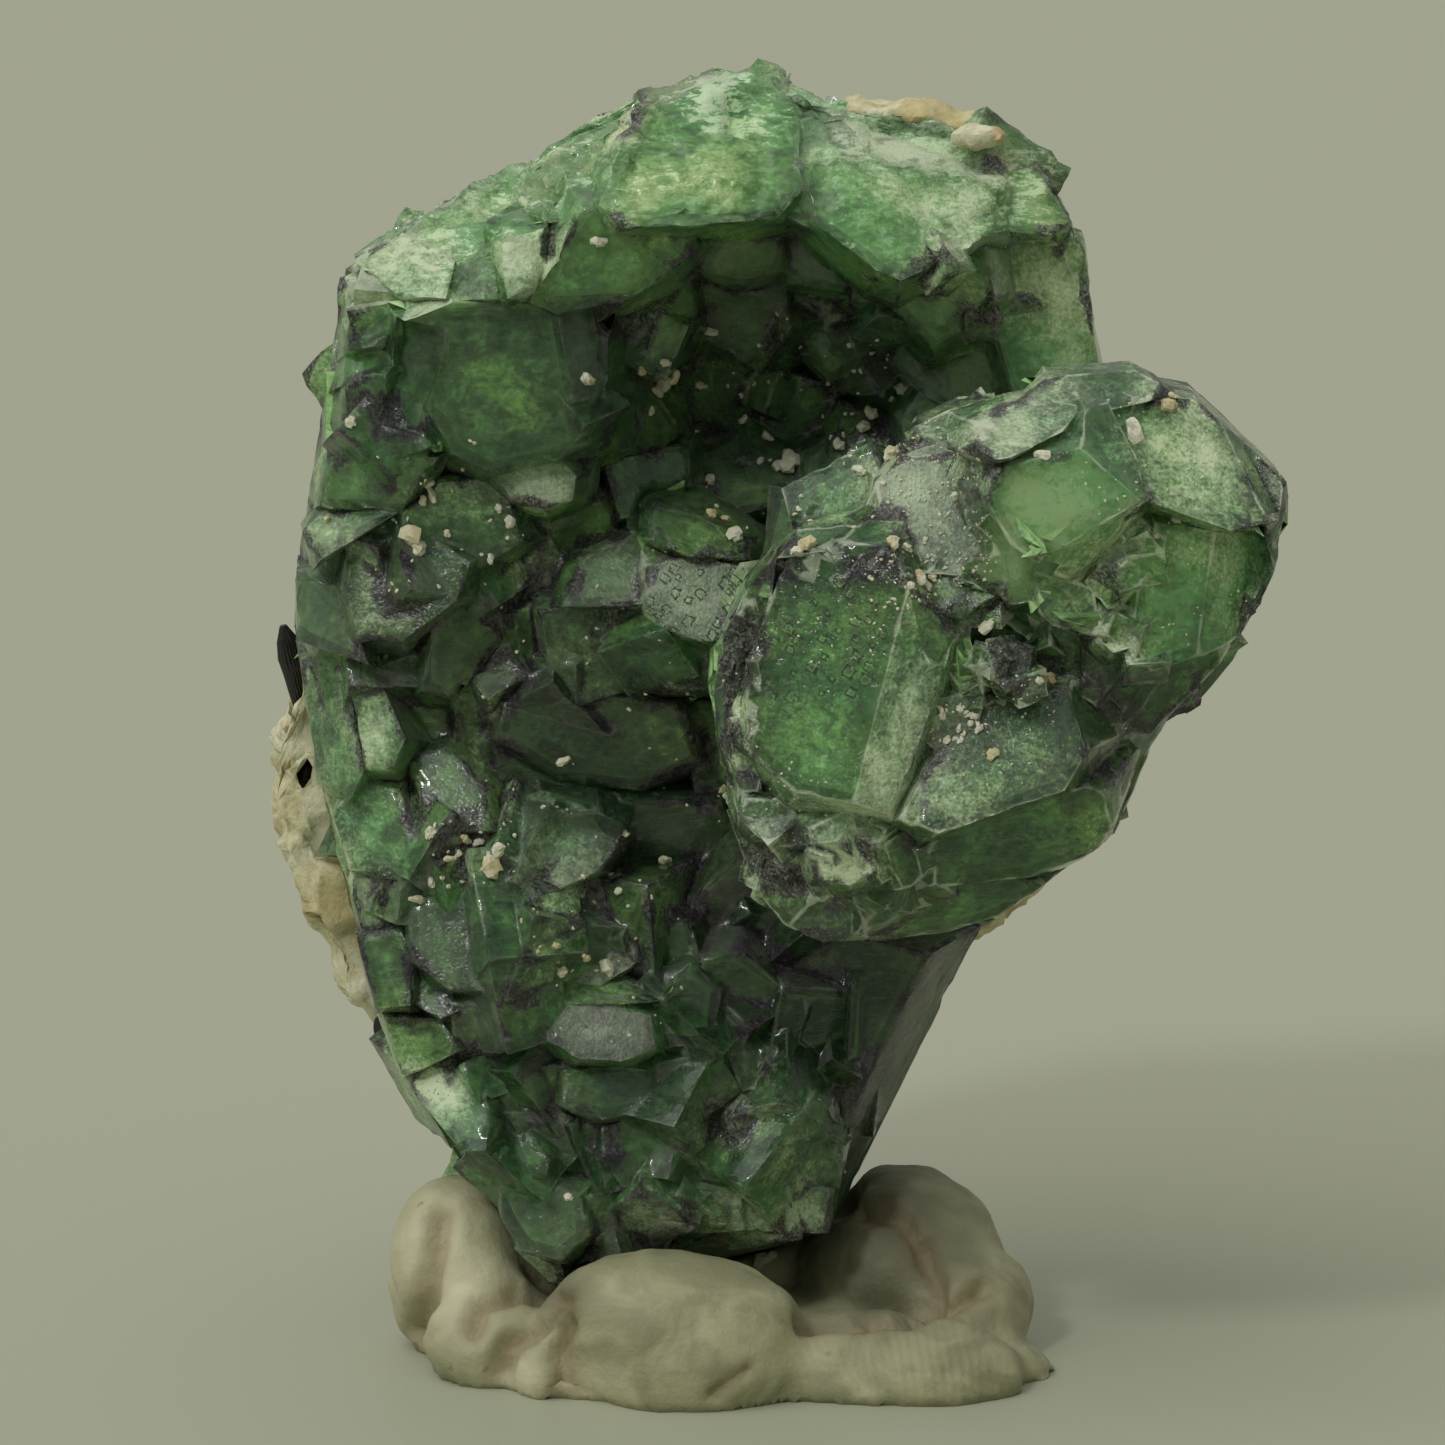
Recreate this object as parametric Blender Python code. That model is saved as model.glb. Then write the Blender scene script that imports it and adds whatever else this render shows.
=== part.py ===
"""A green phantom fluorite cluster with schorl, on a feldspar crust, standing in a lump of mounting putty.

The frame is the object's own: origin on the surface it stands on, under the putty's middle, +Z up, +X to
the right and -Y towards the viewer. Sizes are in millimetres. Crystal faces are drawn as they are seen from
the front: their corners are points of a front view that has VIEW_CENTRE points from its middle to its edge,
counted from its upper left corner, and each face lies at its own depth with its own tilt.
"""

import math
import random
from typing import NamedTuple

import bmesh
import bpy
from mathutils import Matrix, Vector

MM = 0.001

# The front view: where the eye is, and how its points spread
VIEW_DISTANCE = 305.0
VIEW_TILT = 10.0
VIEW_HEIGHT = 27.4
VIEW_CENTRE = 722
VIEW_SPREAD = 7200.0

# Driving dimensions
CLEARANCE = 0.3
PUTTY_SPREAD = 28.6
PUTTY_DEPTH = 22.0
FACE_FLARE = 0.42
FACE_LENGTH_SHARE = 0.75
LEAST_FACE_LENGTH = 2.6
FLAT_WITHIN = 2.0
FOOT_HEIGHT = 9.0
# How much further than its faces a hull's corners move out where it makes room
CORNER_REACH = 1.6


class Face(NamedTuple):
    """One crystal face: its corners in the front view, its depth, and its turns right and up in degrees."""

    corners: tuple
    depth: float
    yaw: float = 0.0
    pitch: float = 0.0


class Chunk(NamedTuple):
    """A many-sided block between two depths, its outline in the front view."""

    outline: tuple
    front: float
    back: float
    front_share: float = 0.84
    back_share: float = 0.86


class Block(NamedTuple):
    """A block: its middle, its width, height and length, and its turns about the upright, side and face."""

    middle: tuple
    sides: tuple
    yaw: float
    pitch: float
    roll: float


class Growth(NamedTuple):
    """Blocks scattered inside an outline: how far in, between which depths, how large and how many."""

    outline: tuple
    inset: float
    depths: tuple
    sides: tuple
    count: int
    seed: int


class Prism(NamedTuple):
    """A schorl crystal from one end to the other."""

    name: str
    start: tuple
    end: tuple
    radius: float


class Lobe(NamedTuple):
    """A pressed lump of putty: its middle, its half sizes and its turn about the upright in degrees."""

    middle: tuple
    halves: tuple
    turn: float


CLUSTER_EDGE = (
    (712, 690), (722, 620), (745, 585), (776, 545), (800, 528), (865, 505), (880, 470), (905, 425),
    (960, 402), (1005, 398), (1030, 385), (1045, 372), (1135, 368), (1160, 380), (1195, 395), (1215, 415),
    (1250, 445),
    (1285, 480), (1290, 500), (1280, 530), (1268, 548), (1275, 572), (1255, 602), (1240, 640), (1223, 645),
    (1220, 665), (1180, 710), (1150, 735), (1148, 755), (1130, 800), (1115, 835), (1080, 865), (1040, 885),
    (1000, 915), (950, 932), (870, 943), (820, 943), (780, 925), (755, 890), (735, 850), (718, 790),
)  # fmt: skip

BOWL_EDGE = (
    (340, 262), (375, 243), (420, 220), (480, 198), (530, 168), (570, 150), (600, 125), (640, 105),
    (680, 96), (715, 82), (770, 82), (800, 115), (815, 122), (850, 112), (905, 108), (950, 115), (1010, 140),
    (1045, 170),
    (1070, 220), (1083, 250), (1092, 310), (1105, 370), (1080, 600), (1040, 800), (1000, 925), (935, 955),
    (897, 1000), (880, 1050), (860, 1110), (850, 1160), (840, 1215), (820, 1240), (750, 1236), (660, 1232),
    (600, 1280), (575, 1298), (550, 1285), (520, 1255), (495, 1200), (480, 1175), (430, 1120), (400, 1080),
    (385, 1035), (370, 1010), (350, 900), (335, 850), (315, 780), (300, 700), (293, 640), (292, 560),
    (308, 480), (325, 400), (333, 350),
)  # fmt: skip

# The part that joins the cluster to the bowl
NECK_EDGE = (
    (770, 700), (780, 580), (880, 480), (1000, 440), (1070, 520), (1080, 640), (1040, 790), (940, 880),
    (820, 840),
)  # fmt: skip

CRUST_EDGE = (
    (390, 380), (355, 560), (400, 900), (620, 1140), (850, 1060), (1000, 880), (1070, 600), (1050, 320),
    (820, 190), (580, 230),
)  # fmt: skip

# Faces of the cluster that stands out in front, from its upper left to its lower right
CLUSTER_FACES = (
    Face(((780, 572), (800, 552), (840, 540), (893, 548), (940, 645), (915, 705), (885, 808), (795, 792),
          (752, 752), (745, 700), (757, 640)), -18.2, -15, 3),
    Face(((938, 618), (954, 655), (945, 722), (905, 803), (888, 815), (898, 762), (922, 690)),
         -17.3, 38, -6),
    Face(((722, 640), (745, 592), (776, 558), (745, 700), (752, 752), (735, 742)), -16.6, -48, 4),
    Face(((714, 690), (724, 680), (762, 790), (736, 792), (719, 742)), -14.6, -56, -8),
    Face(((776, 558), (798, 530), (865, 522), (900, 540), (840, 542)), -16.6, -8, 52),
    Face(((875, 484), (900, 457), (960, 450), (978, 470), (985, 528), (1008, 560), (962, 575), (905, 572),
          (885, 545)), -15.6, -6, 24),
    Face(((905, 450), (915, 425), (960, 404), (996, 400), (980, 443)), -12.2, -8, 40),
    Face(((898, 402), (948, 399), (955, 409), (915, 428)), -8.4, -10, 20),
    Face(((997, 468), (1045, 461), (1080, 446), (1142, 502), (1070, 572), (1038, 562), (1010, 545),
          (986, 500)), -19.4, -3, -8),
    Face(((975, 447), (981, 424), (1005, 403), (1032, 397), (1082, 406), (1062, 431), (1012, 457),
          (995, 460)), -18.2, -4, 52),
    Face(((971, 452), (990, 463), (984, 500), (989, 532), (971, 508)), -18.1, -58, 4),
    Face(((1084, 408), (1108, 402), (1135, 455), (1146, 500), (1106, 470), (1082, 440)), -18.2, 34, 26),
    Face(((1022, 402), (1046, 376), (1134, 370), (1158, 382), (1150, 400), (1100, 412)), -16.2, 0, 42),
    Face(((1092, 412), (1150, 400), (1195, 398), (1284, 482), (1278, 520), (1230, 530), (1145, 500)),
         -17.0, 20, 24),
    Face(((1286, 482), (1289, 500), (1276, 540), (1264, 546), (1270, 515)), -14.6, 62, 0),
    Face(((1155, 522), (1230, 534), (1262, 548), (1274, 574), (1254, 602), (1239, 640), (1150, 672),
          (1130, 640), (1140, 572)), -17.2, 16, -6),
    Face(((1102, 540), (1128, 508), (1155, 530), (1150, 572), (1122, 602), (1096, 575)), -18.0, 8, 4),
    Face(((1034, 582), (1068, 576), (1094, 590), (1100, 638), (1052, 626), (1030, 604)), -17.6, -4, -12),
    Face(((1096, 594), (1128, 600), (1150, 642), (1112, 652), (1100, 640)), -17.7, 14, 12),
    Face(((990, 534), (1034, 566), (1034, 600), (1008, 600), (988, 572)), -17.8, -14, -6),
    Face(((964, 580), (975, 560), (1004, 556), (1013, 574), (990, 588)), -17.8, 0, 20),
    Face(((1060, 640), (1148, 674), (1222, 647), (1219, 665), (1150, 733), (1100, 722), (1058, 692)),
         -14.4, 22, -22),
    Face(((1100, 722), (1150, 736), (1147, 757), (1114, 834), (1094, 780)), -12.4, 48, -12),
    Face(((1000, 694), (1038, 682), (1066, 682), (1086, 752), (1064, 790), (1000, 806), (938, 834),
          (905, 818), (925, 768), (960, 722)), -18.0, 0, 20),
    Face(((905, 872), (940, 836), (1000, 808), (1084, 786), (1104, 792), (1112, 828), (1094, 852),
          (1030, 876), (930, 888)), -17.0, 2, -28),
    Face(((862, 896), (905, 884), (930, 890), (1034, 880), (1044, 884), (1000, 914), (950, 931),
          (870, 942)), -14.2, 0, -50),
    Face(((738, 834), (800, 852), (830, 886), (850, 892), (852, 934), (824, 942), (782, 924), (756, 889)),
         -14.6, -18, -16),
    Face(((744, 798), (790, 800), (808, 844), (790, 848), (756, 836), (738, 815)), -16.2, -22, -6),
    Face(((808, 828), (850, 808), (886, 830), (875, 870), (850, 885), (824, 880)), -17.9, -2, -8),
    Face(((884, 822), (914, 834), (932, 850), (905, 870), (882, 876)), -17.2, 6, -10),
    Face(((850, 890), (880, 878), (910, 880), (900, 912), (864, 934)), -15.8, -8, -34),
    Face(((948, 624), (1000, 602), (1003, 640), (985, 682), (962, 692), (944, 662)), -17.4, -12, 2),
    Face(((986, 640), (1010, 634), (1032, 650), (1026, 680), (1006, 692), (984, 668)), -18.1, 4, 8),
    Face(((940, 698), (984, 692), (976, 742), (950, 762), (926, 742)), -17.5, 4, -4),
    Face(((1035, 622), (1100, 645), (1130, 662), (1094, 704), (1060, 682), (1035, 652)), -15.8, 8, -12),
    Face(((908, 576), (945, 562), (1000, 592), (962, 616), (934, 610)), -17.3, -4, 26),
)  # fmt: skip

# Faces of the bowl-shaped mass behind, from the rim down to the foot
BOWL_FACES = (
    Face(((350, 262), (375, 244), (402, 236), (456, 260), (445, 298), (400, 296), (384, 280)),
         -4.4, -23, 34),
    Face(((352, 300), (385, 286), (397, 320), (380, 345), (348, 350)), -4.8, -26, 11),
    Face(((346, 352), (380, 347), (400, 366), (343, 384)), -4.6, -32, 23),
    Face(((402, 236), (450, 206), (528, 170), (560, 196), (500, 241), (456, 260)), -2.6, -15, 50),
    Face(((430, 270), (500, 244), (515, 280), (505, 298), (450, 300)), -5.6, -8, 26),
    Face(((502, 243), (545, 225), (546, 262), (530, 286), (507, 299)), -6.4, 15, 20),
    Face(((530, 170), (640, 107), (640, 160), (600, 205), (580, 206), (545, 224), (522, 200)),
         -3.4, -20, 46),
    Face(((642, 107), (715, 85), (772, 85), (798, 118), (800, 190), (778, 218), (625, 228), (602, 205)),
         -4.6, 6, 38),
    Face(((800, 120), (848, 114), (872, 168), (850, 250), (815, 226), (782, 214)), -4.2, 23, 29),
    Face(((802, 160), (870, 160), (940, 178), (1000, 186), (990, 236), (900, 280), (880, 272), (815, 222)),
         -5.8, 15, 32),
    Face(((852, 112), (925, 110), (983, 136), (998, 180), (940, 178), (870, 160)), -0.8, 8, 48),
    Face(((986, 137), (1043, 171), (1068, 220), (1050, 235), (1002, 230), (1000, 184)), -1.8, 28, 34),
    Face(((1002, 232), (1068, 222), (1082, 252), (1100, 372), (1080, 420), (1022, 420), (992, 320)),
         -1.4, 26, -4),
    Face(((902, 282), (950, 256), (985, 246), (992, 300), (975, 325), (935, 352), (896, 310)),
         -3.8, -23, -23),
    Face(((582, 208), (622, 230), (690, 227), (695, 250), (650, 286), (582, 324), (530, 302)),
         -6.0, 11, -23),
    Face(((402, 366), (400, 322), (452, 302), (530, 304), (602, 338), (590, 442), (560, 456), (490, 472),
          (452, 452), (438, 420)), -6.2, 8, -8),
    Face(((345, 388), (362, 376), (394, 371), (430, 446), (400, 456), (360, 451), (345, 430)),
         -5.6, -29, -8),
    Face(((696, 227), (778, 220), (782, 270), (740, 278), (692, 268)), -3.4, 0, -36),
    Face(((782, 220), (830, 232), (850, 256), (842, 292), (788, 282)), -2.6, -15, -30),
    Face(((852, 257), (892, 282), (884, 322), (850, 302)), -2.2, -20, -32),
    Face(((612, 318), (690, 274), (696, 335), (650, 380), (606, 350)), -2.2, 32, -26),
    Face(((694, 274), (784, 280), (790, 332), (744, 362), (696, 332)), 0.6, 8, -34),
    Face(((790, 288), (888, 300), (892, 350), (830, 382), (792, 340)), 1.4, -19, -28),
    Face(((600, 356), (650, 382), (680, 430), (640, 470), (594, 450)), -0.6, 36, -15),
    Face(((652, 382), (696, 338), (760, 366), (750, 430), (692, 440)), 3.6, 23, -23),
    Face(((762, 366), (828, 384), (850, 420), (802, 450), (752, 430)), 4.2, -8, -23),
    Face(((832, 384), (892, 354), (960, 382), (940, 440), (852, 420)), 3.4, -26, -11),
    Face(((894, 330), (936, 354), (990, 340), (1000, 400), (960, 420), (892, 372)), 0.2, -34, -11),
    Face(((692, 442), (750, 432), (800, 452), (790, 500), (722, 520), (690, 490)), 2.8, 11, 23),
    Face(((802, 452), (850, 424), (930, 442), (900, 500), (850, 520), (792, 500)), 2.0, -19, 20),
    Face(((602, 462), (640, 472), (688, 444), (690, 492), (655, 502), (620, 520)), -0.6, 26, 11),
    Face(((490, 476), (560, 459), (575, 476), (572, 500), (545, 508), (512, 500)), -5.2, 8, -11),
    Face(((325, 472), (346, 456), (438, 457), (398, 511), (350, 500), (318, 508)), -4.6, -23, -23),
    Face(((302, 532), (330, 502), (396, 513), (352, 530), (320, 560)), -4.2, -28, 30),
    Face(((402, 512), (440, 482), (500, 478), (522, 540), (480, 568), (402, 545)), -4.6, 4, -11),
    Face(((352, 532), (400, 516), (440, 558), (470, 562), (456, 600), (402, 640), (356, 640), (346, 590)),
         -4.9, -15, 8),
    Face(((440, 606), (480, 562), (522, 590), (502, 640), (452, 700), (420, 690)), -3.8, 32, -15),
    Face(((520, 508), (600, 500), (622, 538), (592, 578), (524, 588)), -1.8, 15, -26),
    Face(((296, 570), (344, 592), (354, 640), (368, 664), (296, 640)), -3.4, -42, 8),
    Face(((346, 656), (374, 666), (405, 738), (392, 770), (365, 768)), -4.2, -23, 4),
    Face(((300, 662), (344, 662), (364, 770), (350, 800), (318, 784)), -2.6, -46, 0),
    Face(((376, 666), (420, 652), (470, 750), (408, 740)), -2.4, 26, -29),
    Face(((540, 612), (590, 600), (640, 606), (626, 690), (576, 706), (550, 670)), -3.6, 11, -15),
    Face(((580, 562), (645, 526), (650, 600), (635, 606), (600, 596), (562, 606)), -3.8, 8, 28),
    Face(((650, 562), (700, 556), (745, 570), (722, 640), (700, 641), (660, 626), (646, 600)), -4.7, 4, 15),
    Face(((655, 504), (700, 516), (750, 540), (745, 560), (690, 556), (650, 540)), -3.6, 15, 34),
    Face(((652, 642), (700, 645), (720, 652), (715, 690), (666, 690), (632, 656)), -3.9, 8, -15),
    Face(((502, 702), (550, 692), (576, 708), (626, 700), (680, 702), (700, 760), (640, 790), (560, 780),
          (500, 742)), -2.8, 8, -20),
    Face(((454, 702), (502, 642), (530, 650), (550, 690), (500, 705), (482, 750), (454, 750)),
         -2.4, 23, -26),
    Face(((682, 702), (740, 700), (742, 830), (700, 830)), -0.8, 26, -15),
    Face(((505, 802), (540, 790), (600, 800), (620, 845), (600, 870), (560, 888), (530, 875), (505, 845)),
         -4.2, 8, 23),
    Face(((620, 800), (720, 800), (742, 850), (684, 900), (622, 870)), -1.4, 19, -23),
    Face(((742, 850), (858, 940), (880, 1000), (782, 1000), (702, 950), (690, 902)), -0.4, 23, -29),
    Face(((406, 756), (450, 746), (484, 790), (490, 830), (432, 830)), -4.3, -8, 19),
    Face(((430, 838), (470, 816), (500, 830), (505, 855), (470, 880), (432, 870)), -4.8, 0, 20),
    Face(((332, 812), (364, 782), (400, 790), (416, 850), (400, 880), (350, 870)), -4.0, -26, 8),
    Face(((352, 872), (400, 882), (410, 902), (386, 926), (362, 932), (352, 902)), -4.0, -30, -8),
    Face(((410, 906), (440, 892), (510, 896), (540, 911), (535, 960), (520, 990), (450, 990), (410, 960)),
         -5.8, -8, 8),
    Face(((541, 911), (562, 906), (560, 960), (546, 995), (524, 990)), -5.0, 44, 0),
    Face(((418, 882), (470, 882), (540, 894), (540, 909), (440, 891)), -5.0, -4, 44),
    Face(((356, 937), (400, 926), (410, 960), (410, 1005), (376, 1008)), -5.0, -26, 8),
    Face(((410, 962), (450, 992), (460, 1010), (440, 1018), (412, 1003)), -5.3, -15, 23),
    Face(((562, 892), (620, 872), (662, 900), (640, 940), (600, 930), (566, 912)), -3.8, 11, 4),
    Face(((566, 922), (638, 942), (638, 962), (600, 985), (562, 980)), -4.8, 4, 20),
    Face(((642, 902), (690, 922), (700, 960), (660, 985), (642, 960)), -3.4, -15, -8),
    Face(((384, 1016), (440, 1019), (460, 1050), (402, 1078)), -5.0, -26, 4),
    Face(((450, 1002), (530, 1006), (540, 1030), (512, 1060), (480, 1078), (455, 1050)), -5.2, 8, -26),
    Face(((550, 1006), (600, 1000), (650, 1015), (655, 1050), (620, 1061), (580, 1060), (546, 1040)),
         -6.4, 4, 19),
    Face(((562, 987), (620, 981), (655, 1002), (600, 999), (556, 1004)), -5.6, 0, 40),
    Face(((656, 992), (690, 962), (720, 990), (712, 1040), (660, 1050)), -4.8, 8, 0),
    Face(((702, 960), (742, 952), (780, 986), (770, 1030), (722, 1040)), -3.4, 19, -19),
    Face(((782, 986), (850, 990), (840, 1050), (792, 1060), (772, 1030)), -2.6, 32, -11),
    Face(((852, 982), (932, 957), (896, 1002), (878, 1050), (846, 1060)), -0.8, 48, -11),
    Face(((412, 1066), (450, 1061), (480, 1080), (490, 1110), (485, 1150), (460, 1150), (413, 1092)),
         -5.8, -23, 19),
    Face(((492, 1080), (560, 1062), (598, 1066), (560, 1110), (502, 1110)), -5.2, 8, -20),
    Face(((562, 1072), (620, 1066), (650, 1070), (650, 1110), (602, 1120), (562, 1106)), -5.7, 4, 11),
    Face(((502, 1112), (560, 1111), (600, 1130), (590, 1180), (552, 1180), (540, 1145)), -4.9, 8, -26),
    Face(((505, 1136), (530, 1131), (550, 1160), (545, 1178), (515, 1172), (498, 1150)), -5.7, -19, 8),
    Face(((500, 1186), (540, 1179), (580, 1196), (586, 1236), (560, 1260), (520, 1250), (502, 1220)),
         -6.0, -8, 4),
    Face(((514, 1248), (560, 1262), (566, 1285), (548, 1284)), -5.0, -11, -35),
    Face(((576, 1242), (602, 1252), (602, 1276), (576, 1296), (562, 1270)), -3.8, 23, -19),
    Face(((588, 1196), (640, 1182), (650, 1232), (612, 1260), (592, 1240)), -4.8, 23, -15),
    Face(((602, 1126), (660, 1112), (690, 1150), (660, 1190), (622, 1186), (602, 1160)), -5.3, 8, -4),
    Face(((656, 1062), (720, 1052), (740, 1090), (700, 1120), (660, 1110)), -5.0, 11, -4),
    Face(((722, 1046), (780, 1042), (790, 1080), (742, 1090)), -4.2, 23, 8),
    Face(((742, 1096), (790, 1086), (830, 1100), (826, 1140), (780, 1150), (740, 1145), (726, 1120)),
         -4.5, 19, 4),
    Face(((652, 1196), (700, 1182), (740, 1190), (745, 1230), (700, 1233), (654, 1226)), -4.8, 8, -15),
    Face(((742, 1190), (790, 1182), (834, 1190), (828, 1232), (747, 1230)), -3.6, 20, -8),
    Face(((692, 1122), (740, 1147), (740, 1186), (702, 1178), (682, 1150)), -4.7, 8, 15),
    Face(((792, 1152), (844, 1132), (840, 1188), (797, 1180)), -2.9, 28, 0),
    Face(((832, 1062), (876, 1054), (850, 1130), (832, 1110)), -1.6, 46, -8),
)  # fmt: skip

# The mass that the crystals grow from
FLUORITE_CHUNKS = (
    Chunk(((345, 268), (480, 205), (600, 130), (640, 112), (680, 330), (560, 470), (300, 640), (296, 570),
           (338, 350)), -2.6, 8.6),
    Chunk(((600, 130), (640, 110), (715, 88), (770, 88), (800, 120), (905, 114), (950, 120), (1010, 145),
           (1042, 172), (1066, 222), (1000, 300), (640, 300)), -0.4, 8.8),
    Chunk(((296, 640), (300, 560), (560, 470), (640, 620), (620, 800), (420, 1000), (376, 1006),
           (355, 900), (318, 778)), -2.2, 8.6),
    Chunk(((376, 1006), (360, 930), (600, 800), (980, 925), (932, 955), (895, 1000), (858, 1110),
           (836, 1215), (815, 1236), (650, 1228), (598, 1278), (575, 1294), (552, 1280), (524, 1252),
           (500, 1200), (404, 1076)), -1.4, 8.4),
    Chunk(((1000, 200), (1064, 225), (1080, 252), (1098, 370), (1076, 600), (1036, 800), (996, 920),
           (880, 960), (880, 400)), 1.0, 8.8),
    Chunk(((560, 300), (940, 280), (1010, 420), (1000, 900), (760, 960), (520, 860), (480, 500)), 4.6, 9.0),
    Chunk(NECK_EDGE, -12.6, 7.0, 0.8, 0.96),
    Chunk(((735, 690), (770, 580), (880, 490), (1000, 420), (1140, 390), (1250, 470), (1235, 620),
           (1160, 720), (1100, 820), (1000, 890), (880, 915), (800, 890)), -14.2, -7.0, 0.84, 0.7),
)  # fmt: skip

# Crystals that cover the sides, scattered along an outline
SIDE_GROWTHS = (
    Growth(NECK_EDGE, 0.9, (-12.0, -2.0), (3.8, 5.6), 11, 5),
    Growth(CLUSTER_EDGE, 3.6, (-11.5, -8.0), (3.6, 4.8), 10, 8),
    Growth(BOWL_EDGE, 2.5, (0.5, 5.5), (3.4, 4.8), 11, 3),
)

# The crust of feldspar on the back
FELDSPAR_CHUNKS = (
    Chunk(((276, 740), (272, 800), (300, 850), (350, 1005), (480, 1060), (600, 900), (600, 640),
           (330, 620)), 3.4, 10.4, 0.97),
    Chunk(CRUST_EDGE, 6.8, 11.6, 0.9, 0.8),
    Chunk(((812, 200), (818, 124), (850, 107), (925, 105), (976, 120), (1025, 180), (940, 290)),
         3.8, 11.4, 0.96),
    Chunk(((406, 240), (452, 202), (530, 176), (590, 250), (430, 380)), 4.6, 10.8, 0.95),
    Chunk(((1000, 922), (950, 946), (880, 960), (840, 760), (1030, 700)), 5.0, 10.8, 0.95),
    Chunk(((490, 900), (530, 1130), (670, 1210), (800, 1180), (900, 980), (722, 800)), 6.4, 11.2),
)  # fmt: skip

# Cleavage blocks that stand out of the crust
CRUST_GROWTHS = (
    Growth(CRUST_EDGE, 2.8, (9.2, 10.6), (5.0, 7.6), 8, 4),
    Growth(CRUST_EDGE, 9.0, (9.6, 11.0), (5.4, 8.4), 5, 21),
)

SCHORL = (
    Prism("schorl_left_edge", (-19.2, 5.0, 32.0), (-18.0, 5.6, 26.8), 0.75),
    Prism("schorl_left_stub", (-18.0, 3.9, 24.6), (-14.6, 7.2, 24.0), 0.45),
    Prism("schorl_lower_stub", (-14.6, 2.6, 13.6), (-11.4, 6.4, 13.0), 0.55),
    Prism("schorl_back_long", (-9.6, 13.3, 41.8), (1.8, 13.2, 31.8), 1.35),
    Prism("schorl_back_middle", (11.8, 13.2, 35.8), (2.0, 12.8, 36.8), 1.1),
    Prism("schorl_back_low", (5.6, 13.2, 26.4), (-3.4, 12.9, 19.8), 1.2),
    Prism("schorl_back_top", (9.8, 12.6, 49.0), (2.6, 11.8, 47.4), 0.95),
    Prism("schorl_back_side", (-15.4, 10.6, 31.8), (-8.4, 13.2, 28.8), 0.9),
    Prism("schorl_back_foot", (-5.4, 11.8, 14.8), (-2.0, 10.6, 10.8), 0.8),
)
SCHORL_SIDES = 9

PUTTY_LOBES = (
    Lobe((-10.2, 0.6, 2.6), (4.2, 5.6, 3.9), 12),
    Lobe((-9.4, -3.6, 1.4), (3.6, 3.4, 2.6), 24),
    Lobe((-6.6, -6.4, 0.9), (2.6, 2.6, 1.9), -10),
    Lobe((-1.4, -6.2, 1.5), (5.4, 4.4, 3.5), -6),
    Lobe((6.4, -5.4, 0.4), (6.8, 4.0, 2.9), -6),
    Lobe((11.0, -3.2, 0.0), (3.6, 3.0, 1.7), -16),
    Lobe((7.8, 3.4, 3.0), (4.4, 5.2, 4.4), -14),
    Lobe((10.6, 0.2, 1.6), (2.8, 4.4, 2.9), -8),
    Lobe((0.0, 6.8, 1.6), (8.6, 4.0, 3.2), 0),
    Lobe((-0.4, 0.0, 0.0), (10.4, 7.6, 2.2), 0),
)

FLUORITE_GREEN = (0.16, 0.42, 0.19, 1.0)
FELDSPAR_CREAM = (0.72, 0.64, 0.44, 1.0)
SCHORL_BLACK = (0.012, 0.011, 0.012, 1.0)
PUTTY_GREY = (0.50, 0.47, 0.38, 1.0)

TILT = Matrix.Rotation(math.radians(-VIEW_TILT), 3, "X")
AHEAD = TILT @ Vector((0, 1, 0))
EYE = Vector((0, 0, VIEW_HEIGHT)) - AHEAD * VIEW_DISTANCE


def clear_scene():
    """Removes whatever the scene starts with."""
    for existing in list(bpy.data.objects):
        bpy.data.objects.remove(existing)


def clear_helpers():
    """Removes the blocks that the Booleans read, now that they are done."""
    for helper in [item for item in bpy.data.objects if item.hide_render]:
        bpy.data.objects.remove(helper)
    for collection in list(bpy.data.collections):
        bpy.data.collections.remove(collection)


def sight(point):
    """The direction from the eye through a point of the front view."""
    across = (point[0] - VIEW_CENTRE) / VIEW_SPREAD
    rise = (VIEW_CENTRE - point[1]) / VIEW_SPREAD
    return TILT @ Vector((across, 1, rise))


def seen_at(point, depth):
    """The place, in millimetres, that shows at a point of the front view and lies at this depth."""
    ray = sight(point)
    return EYE + ray * ((depth - EYE.y) / ray.y)


def seen_point(place):
    """The point of the front view at which a place shows."""
    local = TILT.inverted() @ (place - EYE)
    spread = VIEW_SPREAD / local.y
    return (VIEW_CENTRE + local.x * spread, VIEW_CENTRE - local.z * spread)


def middle_of(points):
    """The mean of some points."""
    return sum((Vector(point) for point in points), Vector(points[0]) * 0) / len(points)


def is_inside(point, outline):
    """Whether a point of the front view is inside an outline."""
    inside = False
    for (ax, ay), (bx, by) in zip(outline, outline[1:] + outline[:1]):
        crosses = (ay > point[1]) != (by > point[1])
        if crosses and point[0] < ax + (point[1] - ay) * (bx - ax) / (by - ay):
            inside = not inside
    return inside


def add_object(name, builder):
    """A new object in the scene from a bmesh in millimetres."""
    bmesh.ops.recalc_face_normals(builder, faces=builder.faces)
    if builder.calc_volume(signed=True) < 0:
        bmesh.ops.reverse_faces(builder, faces=builder.faces)
    builder.transform(Matrix.Scale(MM, 4))
    mesh = bpy.data.meshes.new(name)
    builder.to_mesh(mesh)
    builder.free()
    made = bpy.data.objects.new(name, mesh)
    bpy.context.scene.collection.objects.link(made)
    return made


def merge_flat(builder):
    """Merges neighbouring facets that lie nearly in one plane."""
    limit = math.radians(FLAT_WITHIN)
    bmesh.ops.dissolve_limit(builder, angle_limit=limit, verts=builder.verts[:], edges=builder.edges[:])


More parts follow.
